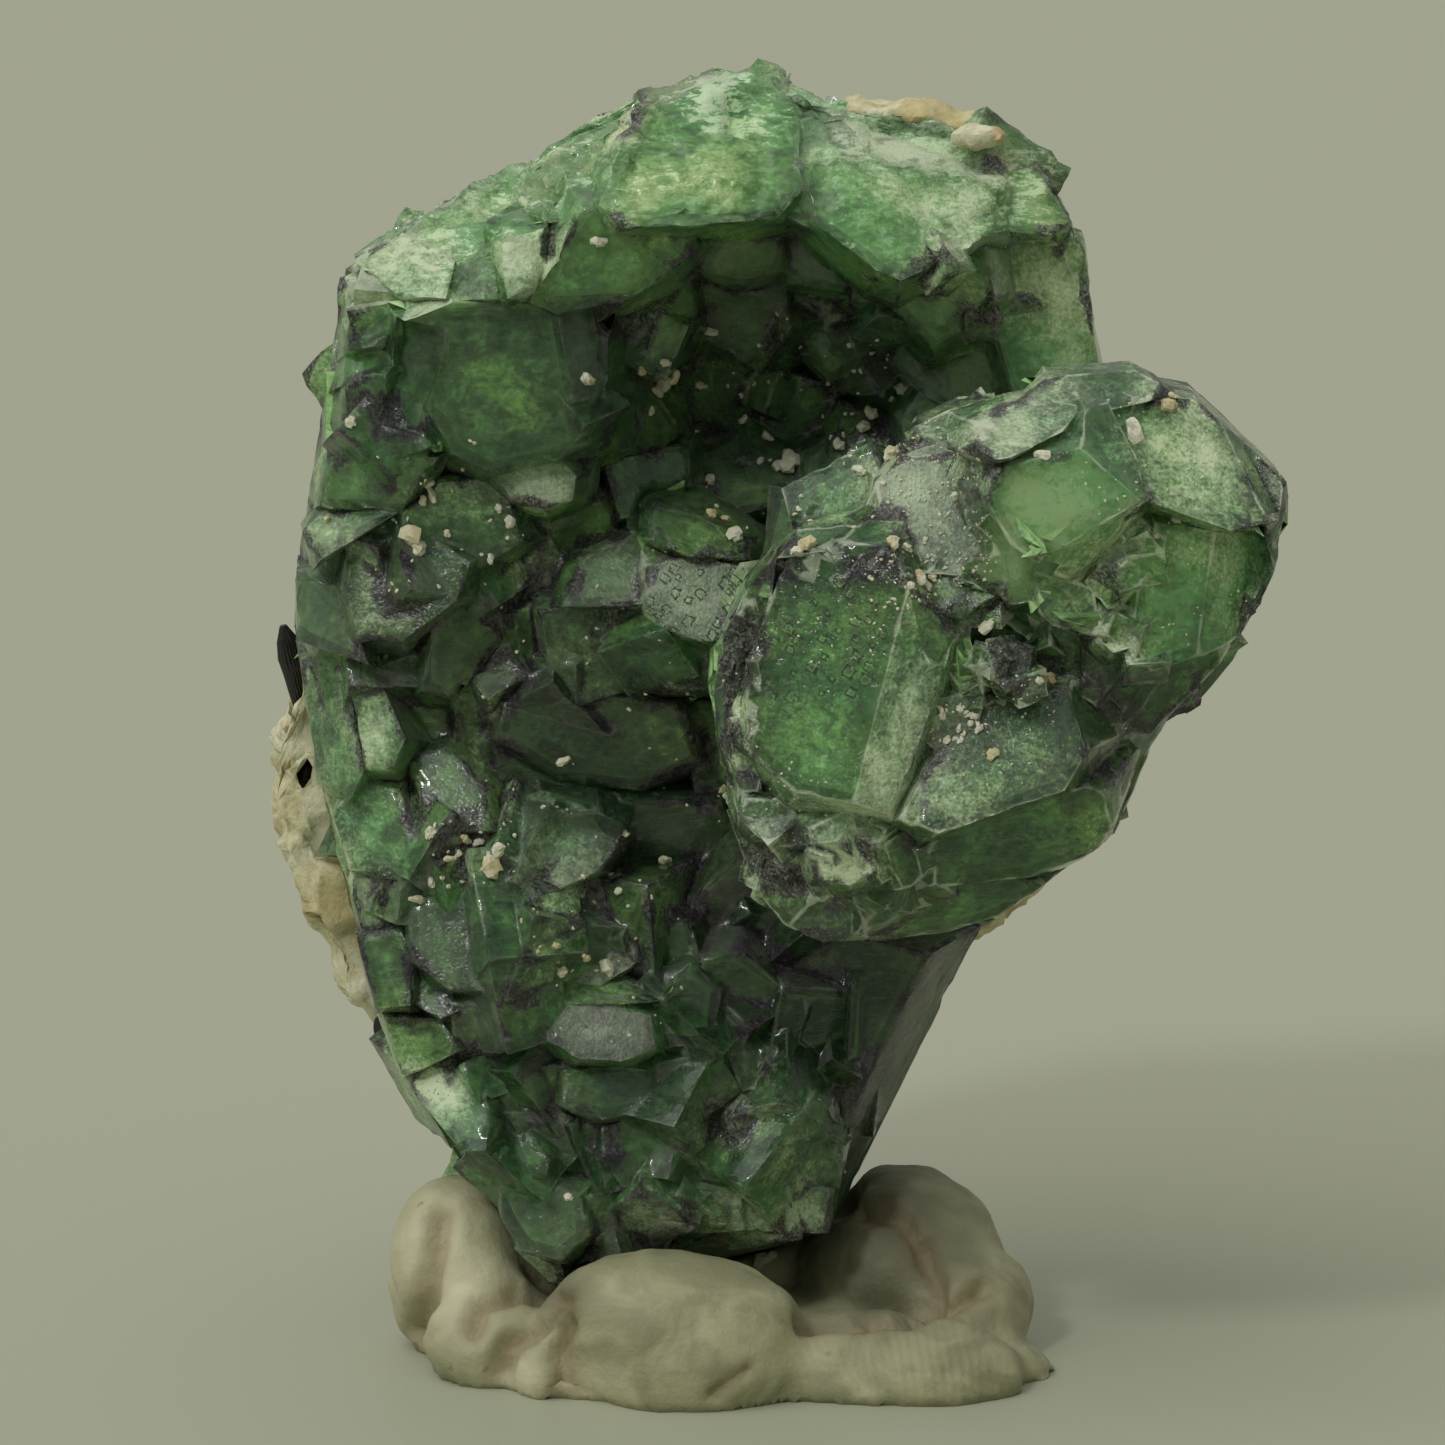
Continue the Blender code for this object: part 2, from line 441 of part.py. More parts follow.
def hull_object(name, places):
    """A new object that is the hull of some places."""
    builder = bmesh.new()
    for place in places:
        builder.verts.new(place)
    hull = bmesh.ops.convex_hull(builder, input=builder.verts[:])
    inner = list(dict.fromkeys(hull["geom_interior"] + hull["geom_unused"]))
    bmesh.ops.delete(builder, geom=inner, context="VERTS")
    merge_flat(builder)
    return add_object(name, builder)


def flared(place, middle, length, edge):
    """The place behind a face's corner: further out than the corner, as far as the outline lets it."""
    out = (place - middle).normalized() * FACE_FLARE * length
    back = Vector((0, length, 0))
    for share in (1.0, 0.75, 0.5, 0.25):
        reached = place + back + out * share
        if is_inside(seen_point(reached), edge):
            return reached
    return place + back


def face_crystal(name, face, edge):
    """A crystal that shows one flat face and widens behind it, where it grows into its neighbours."""
    middle = seen_at(middle_of(face.corners), face.depth)
    yaw, pitch = math.radians(face.yaw), math.radians(-face.pitch)
    turn = TILT @ Matrix.Rotation(yaw, 3, "Z") @ Matrix.Rotation(pitch, 3, "X")
    normal = turn @ Vector((0, -1, 0))
    front = []
    for corner in face.corners:
        ray = sight(corner)
        front.append(EYE + ray * (normal.dot(middle - EYE) / normal.dot(ray)))
    size = sum((place - middle).length for place in front) / len(front)
    length = max(LEAST_FACE_LENGTH, 2 * size * FACE_LENGTH_SHARE)
    places = front + [flared(place, middle, length, edge) for place in front]
    return hull_object(name, places)


def chunk_object(name, chunk, grown=0.0):
    """The hull of three rings of a chunk's outline: the whole outline, and less of it in front and behind."""
    whole_at = 0.4
    middle = middle_of(chunk.outline)
    front, back = chunk.front - grown, chunk.back + grown
    rings = ((front, chunk.front_share), (front + whole_at * (back - front), 1.0), (back, chunk.back_share))
    reach = grown * CORNER_REACH * VIEW_SPREAD / VIEW_DISTANCE
    places = []
    for depth, share in rings:
        for point in chunk.outline:
            out = Vector(point) - middle
            places.append(seen_at(middle + out * share + out.normalized() * reach, depth))
    return hull_object(name, places)


def block_object(name, block, grown=0.0):
    """A plain block, grown on all sides where it cuts."""
    width, height, length = (side + 2 * grown for side in block.sides)
    builder = bmesh.new()
    bmesh.ops.create_cube(builder, size=1.0)
    builder.transform(Matrix.Diagonal((width, length, height, 1.0)))
    builder.transform(Matrix.Rotation(math.radians(block.roll), 4, "Y"))
    builder.transform(Matrix.Rotation(math.radians(-block.pitch), 4, "X"))
    builder.transform(Matrix.Rotation(math.radians(block.yaw), 4, "Z"))
    builder.transform(Matrix.Translation(block.middle))
    return add_object(name, builder)


def scattered(growth):
    """The blocks of a growth, evenly along its outline with some play, each turned its own way."""
    random_of = random.Random(growth.seed)
    points = [Vector(point) for point in growth.outline]
    middle = middle_of(points)
    blocks = []
    for index in range(growth.count):
        along = (index + random_of.uniform(0.1, 0.9)) / growth.count * len(points)
        start = points[int(along)]
        edge_point = start.lerp(points[(int(along) + 1) % len(points)], along % 1.0)
        depth = random_of.uniform(*growth.depths)
        inward = (middle - edge_point).normalized() * growth.inset * VIEW_SPREAD / VIEW_DISTANCE
        side = random_of.uniform(*growth.sides)
        sides = (side, side * random_of.uniform(0.8, 1.0), side * random_of.uniform(0.8, 1.1))
        turns = [random_of.uniform(-45, 45) for _ in range(3)]
        blocks.append(Block(seen_at(edge_point + inward, depth), sides, *turns))
    return blocks


def grown_objects(name, growths, grown=0.0):
    """The objects of some growths' blocks."""
    return [block_object(name, block, grown) for growth in growths for block in scattered(growth)]


def prism_object(name, prism, grown=0.0):
    """A nine-sided prism, each third side further out, with low pyramid ends."""
    start, end = Vector(prism.start), Vector(prism.end)
    axis = end - start
    radius = prism.radius + grown
    inner_share, tip_share = 0.86, 0.35
    builder = bmesh.new()
    for end_sign in (-1, 1):
        height = end_sign * (axis.length / 2 + grown)
        for side in range(SCHORL_SIDES):
            angle = 2 * math.pi * side / SCHORL_SIDES
            reach = radius * (1.0 if side % 3 == 0 else inner_share)
            builder.verts.new((reach * math.cos(angle), reach * math.sin(angle), height))
        builder.verts.new((0, 0, height + end_sign * tip_share * radius))
    bmesh.ops.convex_hull(builder, input=builder.verts[:])
    builder.transform(axis.to_track_quat("Z", "Y").to_matrix().to_4x4())
    builder.transform(Matrix.Translation((start + end) / 2))
    return add_object(name, builder)


def lobe_object(name, lobe):
    """One rounded lump of putty."""
    builder = bmesh.new()
    bmesh.ops.create_icosphere(builder, subdivisions=2, radius=1.0)
    builder.transform(Matrix.Diagonal((*lobe.halves, 1.0)))
    builder.transform(Matrix.Rotation(math.radians(lobe.turn), 4, "Z"))
    builder.transform(Matrix.Translation(lobe.middle))
    return add_object(name, builder)


def gather(name, blocks):
    """A collection of helper blocks that a Boolean reads and no render shows."""
    collection = bpy.data.collections.new(name)
    bpy.context.scene.collection.children.link(collection)
    for block in blocks:
        for holder in list(block.users_collection):
            holder.objects.unlink(block)
        collection.objects.link(block)
        block.hide_render = True
        block.display_type = "WIRE"
    return collection


def combine(target, collection, operation):
    """Joins a collection's blocks to the target, or cuts them from it."""
    modifier = target.modifiers.new(f"{operation.lower()}_{collection.name}", "BOOLEAN")
    modifier.operation = operation
    modifier.operand_type = "COLLECTION"
    modifier.collection = collection
    modifier.solver = "EXACT"


def loose_parts(builder):
    """The separate bodies of a bmesh, each a set of vertices."""
    parts, seen = [], set()
    for vert in builder.verts:
        if vert in seen:
            continue
        part, waiting = {vert}, [vert]
        while waiting:
            for edge in waiting.pop().link_edges:
                fresh = {edge.verts[0], edge.verts[1]} - part
                part |= fresh
                waiting.extend(fresh)
        seen |= part
        parts.append(part)
    return parts


def settle(target):
    """Applies the target's modifiers and leaves only its main body, without chips or closed hollows."""
    builder = bmesh.new()
    builder.from_object(target, bpy.context.evaluated_depsgraph_get())
    merge_flat(builder)
    parts = loose_parts(builder)
    main_body = max(parts, key=len)
    chips = [vert for vert in builder.verts if vert not in main_body]
    bmesh.ops.delete(builder, geom=chips, context="VERTS")
    target.modifiers.clear()
    builder.to_mesh(target.data)
    builder.free()


def finish_with(target, colour, roughness, metallic=0.0):
    """Gives the target its own material."""
    material = bpy.data.materials.new(target.name)
    material.use_nodes = True
    shader = material.node_tree.nodes["Principled BSDF"]
    shader.inputs["Base Color"].default_value = colour
    shader.inputs["Roughness"].default_value = roughness
    shader.inputs["Metallic"].default_value = metallic
    target.data.materials.append(material)


def feldspar_objects(grown=0.0):
    """The crust's chunks and its cleavage blocks."""
    chunks = [chunk_object("feldspar_chunk", chunk, grown) for chunk in FELDSPAR_CHUNKS]
    return chunks + grown_objects("feldspar_block", CRUST_GROWTHS, grown)


def fluorite_objects():
    """The mass of the fluorite and every crystal on it."""
    chunks = [chunk_object("fluorite_chunk", chunk) for chunk in FLUORITE_CHUNKS]
    cluster = [face_crystal("cluster_crystal", face, CLUSTER_EDGE) for face in CLUSTER_FACES]
    bowl = [face_crystal("bowl_crystal", face, BOWL_EDGE) for face in BOWL_FACES]
    return chunks + cluster + bowl + grown_objects("side_crystal", SIDE_GROWTHS)


def make_fluorite(sockets):
    """The fluorite: one body of crystals grown together, cut back where the crust and the schorl lie."""
    growth = fluorite_objects()
    fluorite = growth[0]
    fluorite.name = "fluorite"
    combine(fluorite, gather("fluorite_growth", growth[1:]), "UNION")
    combine(fluorite, gather("feldspar_room", feldspar_objects(CLEARANCE)), "DIFFERENCE")
    combine(fluorite, sockets, "DIFFERENCE")
    settle(fluorite)
    finish_with(fluorite, FLUORITE_GREEN, 0.25)
    return fluorite


def make_feldspar(sockets):
    """The crust on the back, with sockets for the schorl."""
    blocks = feldspar_objects()
    crust = blocks[0]
    crust.name = "feldspar_crust"
    combine(crust, gather("feldspar_growth", blocks[1:]), "UNION")
    combine(crust, sockets, "DIFFERENCE")
    settle(crust)
    finish_with(crust, FELDSPAR_CREAM, 0.7)
    return crust


def make_schorl():
    """The black prisms, each its own piece."""
    for prism in SCHORL:
        finish_with(prism_object(prism.name, prism), SCHORL_BLACK, 0.3)


def foot_room(stone):
    """The hull of a stone's foot, with its clearance all round."""
    places = [vert.co / MM for vert in stone.data.vertices if vert.co.z < FOOT_HEIGHT * MM]
    middle = middle_of(places)
    reach = CLEARANCE * CORNER_REACH
    return hull_object("foot_room", [place + (place - middle).normalized() * reach for place in places])


def make_putty(stones):
    """The lump of putty: lobes joined, cut flat underneath and hollowed for the stones' feet."""
    reach = 3.0
    lobes = [lobe_object("putty_lobe", lobe) for lobe in PUTTY_LOBES]
    putty = lobes[0]
    putty.name = "mounting_putty"
    combine(putty, gather("putty_growth", lobes[1:]), "UNION")
    sides = (PUTTY_SPREAD + 2 * reach, 2 * reach, PUTTY_DEPTH + 2 * reach)
    ground = Block((0, 0, -reach), sides, 0, 0, 0)
    rooms = [block_object("ground", ground)] + [foot_room(stone) for stone in stones]
    combine(putty, gather("putty_room", rooms), "DIFFERENCE")
    settle(putty)
    finish_with(putty, PUTTY_GREY, 0.85)


def main():
    """Builds the specimen."""
    clear_scene()
    sockets = gather("schorl_sockets", [prism_object("schorl_socket", prism, CLEARANCE) for prism in SCHORL])
    stones = [make_fluorite(sockets), make_feldspar(sockets)]
    make_schorl()
    make_putty(stones)
    clear_helpers()


main()
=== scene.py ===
"""The looks of a green phantom fluorite with schorl, on a feldspar crust, in a lump of mounting putty.

Sizes are in metres unless a name ends in _mm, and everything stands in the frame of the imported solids. Places
on the specimen's front are given as points of its front view, VIEW.width of them across, counted from the upper
left corner, and are cast onto the surface that shows there.
"""

import logging
import math
import random
from dataclasses import dataclass, field
from enum import Enum

import bmesh
import bpy
import numpy as np
from mathutils import Matrix, Vector, noise
from mathutils.bvhtree import BVHTree
from mathutils.kdtree import KDTree


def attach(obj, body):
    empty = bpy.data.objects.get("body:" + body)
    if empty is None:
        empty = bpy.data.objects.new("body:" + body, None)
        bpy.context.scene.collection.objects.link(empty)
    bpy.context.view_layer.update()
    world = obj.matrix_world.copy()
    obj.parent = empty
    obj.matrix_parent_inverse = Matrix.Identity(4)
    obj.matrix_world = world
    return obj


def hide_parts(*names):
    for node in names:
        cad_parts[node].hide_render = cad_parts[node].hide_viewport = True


MM = 0.001
BODY = "root"
BACK = 4.5 * MM  # what lies further back is seen only from behind
ALL_ROUND = 6.28  # about a whole turn
LOG = logging.getLogger("specimen")
NOISE_SEED = 7

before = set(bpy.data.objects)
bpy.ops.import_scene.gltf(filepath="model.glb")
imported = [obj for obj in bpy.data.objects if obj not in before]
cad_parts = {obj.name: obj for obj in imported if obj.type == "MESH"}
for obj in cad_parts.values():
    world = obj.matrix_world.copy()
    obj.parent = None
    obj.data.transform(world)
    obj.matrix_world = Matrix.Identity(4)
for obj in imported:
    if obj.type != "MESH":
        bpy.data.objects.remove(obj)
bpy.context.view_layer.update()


class Slot(Enum):
    """Names of the material slots."""

    FLUORITE = "fluorite"
    FELDSPAR = "feldspar"
    SCHORL = "schorl"
    PUTTY = "putty"


class Layer(Enum):
    """Which part of the fluorite a spot lies on."""

    CLUSTER = "cluster"
    BOWL = "bowl"


@dataclass(frozen=True)
class FrontView:
    """The view of the specimen's front, and how its points spread over it."""

    distance: float = 0.305
    tilt_degrees: float = 10.0
    height: float = 0.0274
    width: float = 1445.0
    centre: float = 722.0
    spread: float = 7200.0

    def turn(self) -> Matrix:
        """Returns the turn from a level view to this one."""
        return Matrix.Rotation(math.radians(-self.tilt_degrees), 3, "X")

    def eye(self) -> Vector:
        """Returns the place that the view is from."""
        return Vector((0, 0, self.height)) - self.turn() @ Vector((0, 1, 0)) * self.distance

    def sight(self, point: tuple[float, float]) -> Vector:
        """Gives the direction in which a point shows.

        Args:
            point: The point of the front view.

        Returns:
            A direction, not of unit length.
        """
        across = (point[0] - self.centre) / self.spread
        rise = (self.centre - point[1]) / self.spread
        return self.turn() @ Vector((across, 1, rise))

    def points_of(self, places: np.ndarray) -> np.ndarray:
        """Gives the points at which places show.

        Args:
            places: One place a row, in metres.

        Returns:
            One point of the front view a row.
        """
        local = (places - np.array(self.eye())) @ np.array(self.turn())
        spread = self.spread / local[:, 1]
        return np.stack([self.centre + local[:, 0] * spread, self.centre - local[:, 2] * spread], axis=1)


VIEW = FrontView()


class Value:
    """A number socket of a shader, on which Python's operators add Math nodes."""

    def __init__(self, graph: "Graph", socket: bpy.types.NodeSocket) -> None:
        """Wraps a socket of a graph."""
        self.graph = graph
        self.socket = socket

    def __add__(self, other: "Value | float") -> "Value":
        """Adds."""
        return self.graph.math("ADD", self, other)

    __radd__ = __add__

    def __sub__(self, other: "Value | float") -> "Value":
        """Subtracts a value from this one."""
        return self.graph.math("SUBTRACT", self, other)

    def __rsub__(self, other: float) -> "Value":
        """Subtracts this one from a number."""
        return self.graph.math("SUBTRACT", other, self)

    def __mul__(self, other: "Value | float") -> "Value":
        """Multiplies."""
        return self.graph.math("MULTIPLY", self, other)

    __rmul__ = __mul__

    def __truediv__(self, other: "Value | float") -> "Value":
        """Divides this one by a value."""
        return self.graph.math("DIVIDE", self, other)

    def __abs__(self) -> "Value":
        """Returns the size without its sign."""
        return self.graph.math("ABSOLUTE", self)

    def most(self, other: "Value | float") -> "Value":
        """Returns the larger of the two."""
        return self.graph.math("MAXIMUM", self, other)

    def least(self, other: "Value | float") -> "Value":
        """Returns the smaller of the two."""
        return self.graph.math("MINIMUM", self, other)

    def rise(self, low: float, high: float) -> "Value":
        """Gives a smooth step.

        Args:
            low: Where the step starts, at 0.
            high: Where it ends, at 1.

        Returns:
            A value from 0 to 1.
        """
        sockets = {"Value": self, "From Min": low, "From Max": high}
        return self.graph.value("ShaderNodeMapRange", {"interpolation_type": "SMOOTHSTEP"}, sockets)

    def fall(self, low: float, high: float) -> "Value":
        """Gives a smooth step down, from 1 at low to 0 at high."""
        return 1 - self.rise(low, high)


class Graph:
    """The nodes of one material, or of the world."""

    def __init__(self, owner: bpy.types.Material | bpy.types.World, coordinates: str, scale: float) -> None:
        """Empties the owner's nodes and reads one kind of coordinates, scaled."""
        owner.use_nodes = True
        self.owner = owner
        owner.node_tree.nodes.clear()
        place = self.node("ShaderNodeTexCoord").outputs[coordinates]
        scaled = self.node("ShaderNodeVectorMath", {"operation": "SCALE"}, {"Vector": place, "Scale": scale})
        self.place = scaled.outputs[0]

    @classmethod
    def of_material(cls, name: str) -> "Graph":
        """Starts an empty material that reads its place on the piece in millimetres."""
        return cls(bpy.data.materials.new(name), "Object", 1 / MM)

    def node(self, kind: str, settings: dict | None = None, sockets: dict | None = None) -> bpy.types.Node:
        """Adds a node.

        Args:
            kind: The node's type.
            settings: Its settings, set first; stops are a ramp's places and colours.
            sockets: The values or links of its inputs, by name or number.

        Returns:
            The node.
        """
        made = self.owner.node_tree.nodes.new(kind)
        for name, setting in (settings or {}).items():
            if name == "stops":
                self.set_stops(made.color_ramp, setting)
            else:
                setattr(made, name, setting)
        for name, given in (sockets or {}).items():
            source = given.socket if isinstance(given, Value) else given
            if isinstance(source, bpy.types.NodeSocket):
                self.owner.node_tree.links.new(source, made.inputs[name])
            else:
                made.inputs[name].default_value = source
        return made

    @staticmethod
    def set_stops(ramp: bpy.types.ColorRamp, stops: tuple) -> None:
        """Gives a colour ramp its stops."""
        while len(ramp.elements) < len(stops):
            ramp.elements.new(0.5)
        for element, (place, colour) in zip(ramp.elements, stops):
            element.position = place
            element.color = (*colour, 1.0)

    def value(self, kind: str, settings: dict | None = None, sockets: dict | None = None,
              output: int | str = 0) -> Value:  # fmt: skip
        """Adds a node and wraps one of its outputs."""
        return Value(self, self.node(kind, settings, sockets).outputs[output])

    def math(self, operation: str, *terms: "Value | float") -> Value:
        """Adds a Math node."""
        return self.value("ShaderNodeMath", {"operation": operation}, dict(enumerate(terms)))

    def attribute(self, name: str) -> Value:
        """Reads a number that the mesh carries."""
        return self.value("ShaderNodeAttribute", {"attribute_name": name}, output="Fac")

    def noise(self, scale: float, detail: float = 3.0, roughness: float = 0.5, distortion: float = 0.0,
              stretch: tuple = (1.0, 1.0, 1.0), turn: tuple = (0.0, 0.0, 0.0)) -> Value:  # fmt: skip
        """Adds a noise pattern.

        Args:
            scale: How many lumps it has a millimetre.
            detail: How many finer layers it has.
            roughness: How strong these are.
            distortion: How far it is warped.
            stretch: How dense it is along each axis.
            turn: How it is turned before that, in radians.

        Returns:
            A value around 0.5.
        """
        sockets = {"Vector": self.place, "Rotation": turn, "Scale": stretch}
        vector = self.node("ShaderNodeMapping", {"vector_type": "POINT"}, sockets).outputs[0]
        sockets = {"Vector": vector, "Scale": scale, "Detail": detail, "Roughness": roughness}
        return self.value("ShaderNodeTexNoise", None, {**sockets, "Distortion": distortion})

    def dots(self, scale: float) -> Value:
        """Gives the distance to the nearest of scattered dots."""
        return self.value("ShaderNodeTexVoronoi", None, {"Vector": self.place, "Scale": scale}, "Distance")

    def mix(self, share: "Value | float", one: object, other: object, way: str = "MIX") -> bpy.types.NodeSocket:
        """Mixes two colours.

        Args:
            share: How much of the other colour there is.
            one: The first colour, or a socket that gives it.
            other: The other one.
            way: How they are mixed.

        Returns:
            The mixed colour's socket.
        """
        settings = {"data_type": "RGBA", "blend_type": way, "clamp_factor": True}
        sockets = {0: share, 6: self.solid(one), 7: self.solid(other)}
        return self.node("ShaderNodeMix", settings, sockets).outputs[2]

    @staticmethod
    def solid(colour: object) -> object:
        """Gives a plain colour its alpha and passes a socket on."""
        return (*colour, 1.0) if isinstance(colour, tuple) else colour

    def ramp(self, share: Value, stops: tuple) -> bpy.types.NodeSocket:
        """Gives the colour at a place between the stops."""
        return self.node("ShaderNodeValToRGB", {"stops": stops}, {"Fac": share}).outputs["Color"]

    def bump(self, height: Value, depth_mm: float, strength: float = 1.0) -> bpy.types.NodeSocket:
        """Gives the normal of a surface raised by a height of 0 to 1."""
        sockets = {"Height": height, "Distance": depth_mm * MM, "Strength": strength}
        return self.node("ShaderNodeBump", None, sockets).outputs["Normal"]

    def face(self, colour: object, roughness: "Value | float", **others: object) -> bpy.types.NodeSocket:
        """Gives a surface of a colour and a roughness; spaces in other inputs' names are written as _."""
        more = {name.replace("_", " "): given for name, given in others.items()}
        sockets = {"Base Color": self.solid(colour), "Roughness": roughness, **more}
        return self.node("ShaderNodeBsdfPrincipled", None, sockets).outputs[0]

    def finish(self, surface: bpy.types.NodeSocket, volume: bpy.types.NodeSocket | None = None) -> bpy.types.Material:
        """Ends the material with its surface and, where it has one, its volume."""
        sockets = {"Surface": surface}
        if volume:
            sockets["Volume"] = volume
        self.node("ShaderNodeOutputMaterial", None, sockets)
        return self.owner


@dataclass(frozen=True)
class FluoriteFinish:
    """Green fluorite: clear to veiled inside, glassy to frosted on its faces, with purple-black rims."""

    deep: tuple = (0.033, 0.050, 0.026)
    middle: tuple = (0.118, 0.198, 0.091)
    bright: tuple = (0.262, 0.530, 0.170)
    pale: tuple = (0.515, 0.735, 0.352)
    frosted: tuple = (0.270, 0.320, 0.215)
    cool: tuple = (0.80, 0.98, 1.02)
    warm: tuple = (1.04, 1.00, 0.86)
    white: tuple = (0.680, 0.720, 0.560)
    violet: tuple = (0.024, 0.014, 0.027)
    lilac: tuple = (0.165, 0.110, 0.180)
    grey: tuple = (0.240, 0.225, 0.220)
    glass: tuple = (0.86, 0.97, 0.86)
    absorbed: tuple = (0.30, 0.82, 0.30)
    density: float = 260.0
    ior: float = 1.434

    def body(self, graph: Graph, shade: Value) -> bpy.types.NodeSocket:
        """Returns the green at a shade of -1, nearly black, to 1, pale."""
        stops = ((0.0, self.deep), (0.42, self.middle), (0.74, self.bright), (1.0, self.pale))
        return graph.ramp((shade + 1) / 2, stops)

    def skin(self) -> bpy.types.Material:
        """Returns the outer faces' material."""
        graph = Graph.of_material("fluorite_skin")
        ridge, valley, broken, etched, cloud, width, crisp, shard = (
            graph.attribute(name)
            for name in ("ridge", "valley", "broken", "etched", "cloud", "width", "crisp", "shard")
        )
        frost = graph.attribute("frost") * 0.35 + graph.attribute("facet_frost") * 0.65
        tone = graph.attribute("tone") + graph.attribute("facet_tone")
        veil = graph.noise(0.95, 3, 0.72, 1.2)
        grain = graph.noise(7.0, 1, 0.65)
        fine = graph.noise(2.6, 2, 0.7, 0.6)
        streak = graph.noise(1.1, 2, 0.7, 0.5, (1.0, 1.0, 3.6), (0.5, 0.5, 0.0))
        dots = graph.dots(4.6)

        # the zones inside: brighter in a crystal's middle, veiled and streaky
        core = ridge.rise(0.25, 1.5)
        shade = tone + (veil - 0.5) * 2.1 + cloud * 1.1 + (streak - 0.5) * (0.8 + broken * 2.4)
        shade = shade + (fine - 0.5) * 1.1 + (grain - 0.5) * crisp * 0.9
        shade = shade + shard * (0.15 + broken * 1.5) + core * 0.32 - 0.18
        tint = graph.mix((cloud + 0.5).rise(0.2, 0.8), self.cool, self.warm)
        colour = graph.mix(1.0, self.body(graph, shade), tint, "MULTIPLY")

        # frosting, haze, and the white of broken edges, whose white veins also carry painted glints
        dull = (frost + (fine - 0.5) * 0.5 + (grain - 0.5) * 0.5 + cloud * 0.7).rise(0.30, 0.95)
        colour = graph.mix(dull * 0.66, colour, graph.mix(shade.rise(-0.6, 1.1), self.frosted, self.white))
        colour = graph.mix(graph.attribute("facet_haze") * (0.3 + veil * 0.7), colour, self.grey)
        white_veins_and_glints = (streak + broken * 0.25 + shard * 0.6 + (grain - 0.5) * 0.3).rise(0.74, 0.98) * broken
        colour = graph.mix(white_veins_and_glints * 0.7, colour, self.white)

        # purple-black along ridges and seams, and in specks: a stain, which along the seams between crystals is painted
        # shade as well
        rim = (ridge - width * 2.6 + (grain - 0.5) * 0.5).fall(0.0, 0.16)
        seam_stain_and_shade = (valley - width * 2.2 - 0.08 + (grain - 0.5) * 0.5).fall(0.0, 0.24)
        speckle = dots.fall(0.14, 0.24) * (width + 0.5).rise(0.50, 0.62)
        stain_and_seam_shade = rim.most(seam_stain_and_shade).most(speckle) * (graph.attribute("violet") + cloud * 1.3).rise(0.12, 0.42)
        stain_and_seam_shade = stain_and_seam_shade * (0.70 + grain.rise(0.42, 0.56) * 0.30)
        purple = graph.mix((veil * 0.6 + fine * 0.4).rise(0.50, 0.72), self.violet, self.lilac)
        colour = graph.mix(stain_and_seam_shade * 0.95, colour, purple)

        # painted highlights along ridges, sugary specks that are partly painted sparkle, and etched pits with a painted
        # highlight just inside their outlines
        glint = (ridge + width * 0.4).fall(0.0, 0.12) * (1 - stain_and_seam_shade) * crisp
        colour = graph.mix(glint * 0.55, colour, self.white)
        sugar_specks_and_sparkle = dots.fall(0.10, 0.20) * (cloud + 0.5).rise(0.40, 0.60) * (0.25 + dull * 0.75) * crisp
        colour = graph.mix(sugar_specks_and_sparkle * 0.6, colour, self.white)
        border = self.etching(graph, fine, veil)
        etched = (etched * 1.5).least(1.0)
        pits, lit = abs(border).fall(0.03, 0.08) * etched, abs(border + 0.10).fall(0.02, 0.07) * etched
        colour = graph.mix(pits * 0.9, colour, self.deep)
        colour = graph.mix(lit * 0.30, colour, self.pale)

        opaque = (0.40 + core * 0.14 + dull * 0.5 + stain_and_seam_shade * 0.75 + glint * 0.3 + pits * 0.7 + white_veins_and_glints).least(0.97)
        normal = graph.bump(grain * (0.25 + frost * 0.8) + fine * 0.9, 0.06)
        glass = graph.face(self.glass, 0.05, IOR=self.ior, Transmission_Weight=1.0)
        veiled = graph.face(colour, 0.14 + dull * 0.30, IOR=self.ior, Normal=normal)
        both = graph.node("ShaderNodeMixShader", None, {0: opaque, 1: glass, 2: veiled})
        absorbed = {"Color": graph.solid(self.absorbed), "Density": self.density}
        inside = graph.node("ShaderNodeVolumeAbsorption", None, absorbed)
        return graph.finish(both.outputs[0], inside.outputs[0])

    @staticmethod
    def etching(graph: Graph, fine: Value, veil: Value) -> Value:
        """Gives the distance to small square pits' outlines, warped by two patterns.

        Args:
            graph: The material's nodes.
            fine: The pattern that warps them across.
            veil: The one that warps them upwards.

        Returns:
            A value below 0 inside a pit, 0 on its outline and above 0 outside.
        """
        sockets = {"Vector": graph.place, "Rotation": (-math.pi / 2, 0.0, 0.55)}
        turned = graph.node("ShaderNodeMapping", None, sockets).outputs[0]
        shift = graph.node("ShaderNodeCombineXYZ", None, {0: fine * 0.5, 1: veil * 0.5}).outputs[0]
        turned = graph.node("ShaderNodeVectorMath", {"operation": "ADD"}, {0: turned, 1: shift}).outputs[0]
        settings = {"voronoi_dimensions": "2D", "feature": "F1", "distance": "CHEBYCHEV"}
        sockets = {"Vector": turned, "Scale": 1.45, "Randomness": 0.9}
        made = graph.node("ShaderNodeTexVoronoi", settings, sockets)
        split = graph.node("ShaderNodeSeparateColor", None, {0: made.outputs["Color"]})
        size = 0.13 + Value(graph, split.outputs[0]) * 0.17
        kept = Value(graph, split.outputs[1]).rise(0.15, 0.25)
        return Value(graph, made.outputs["Distance"]) - size + (1 - kept)

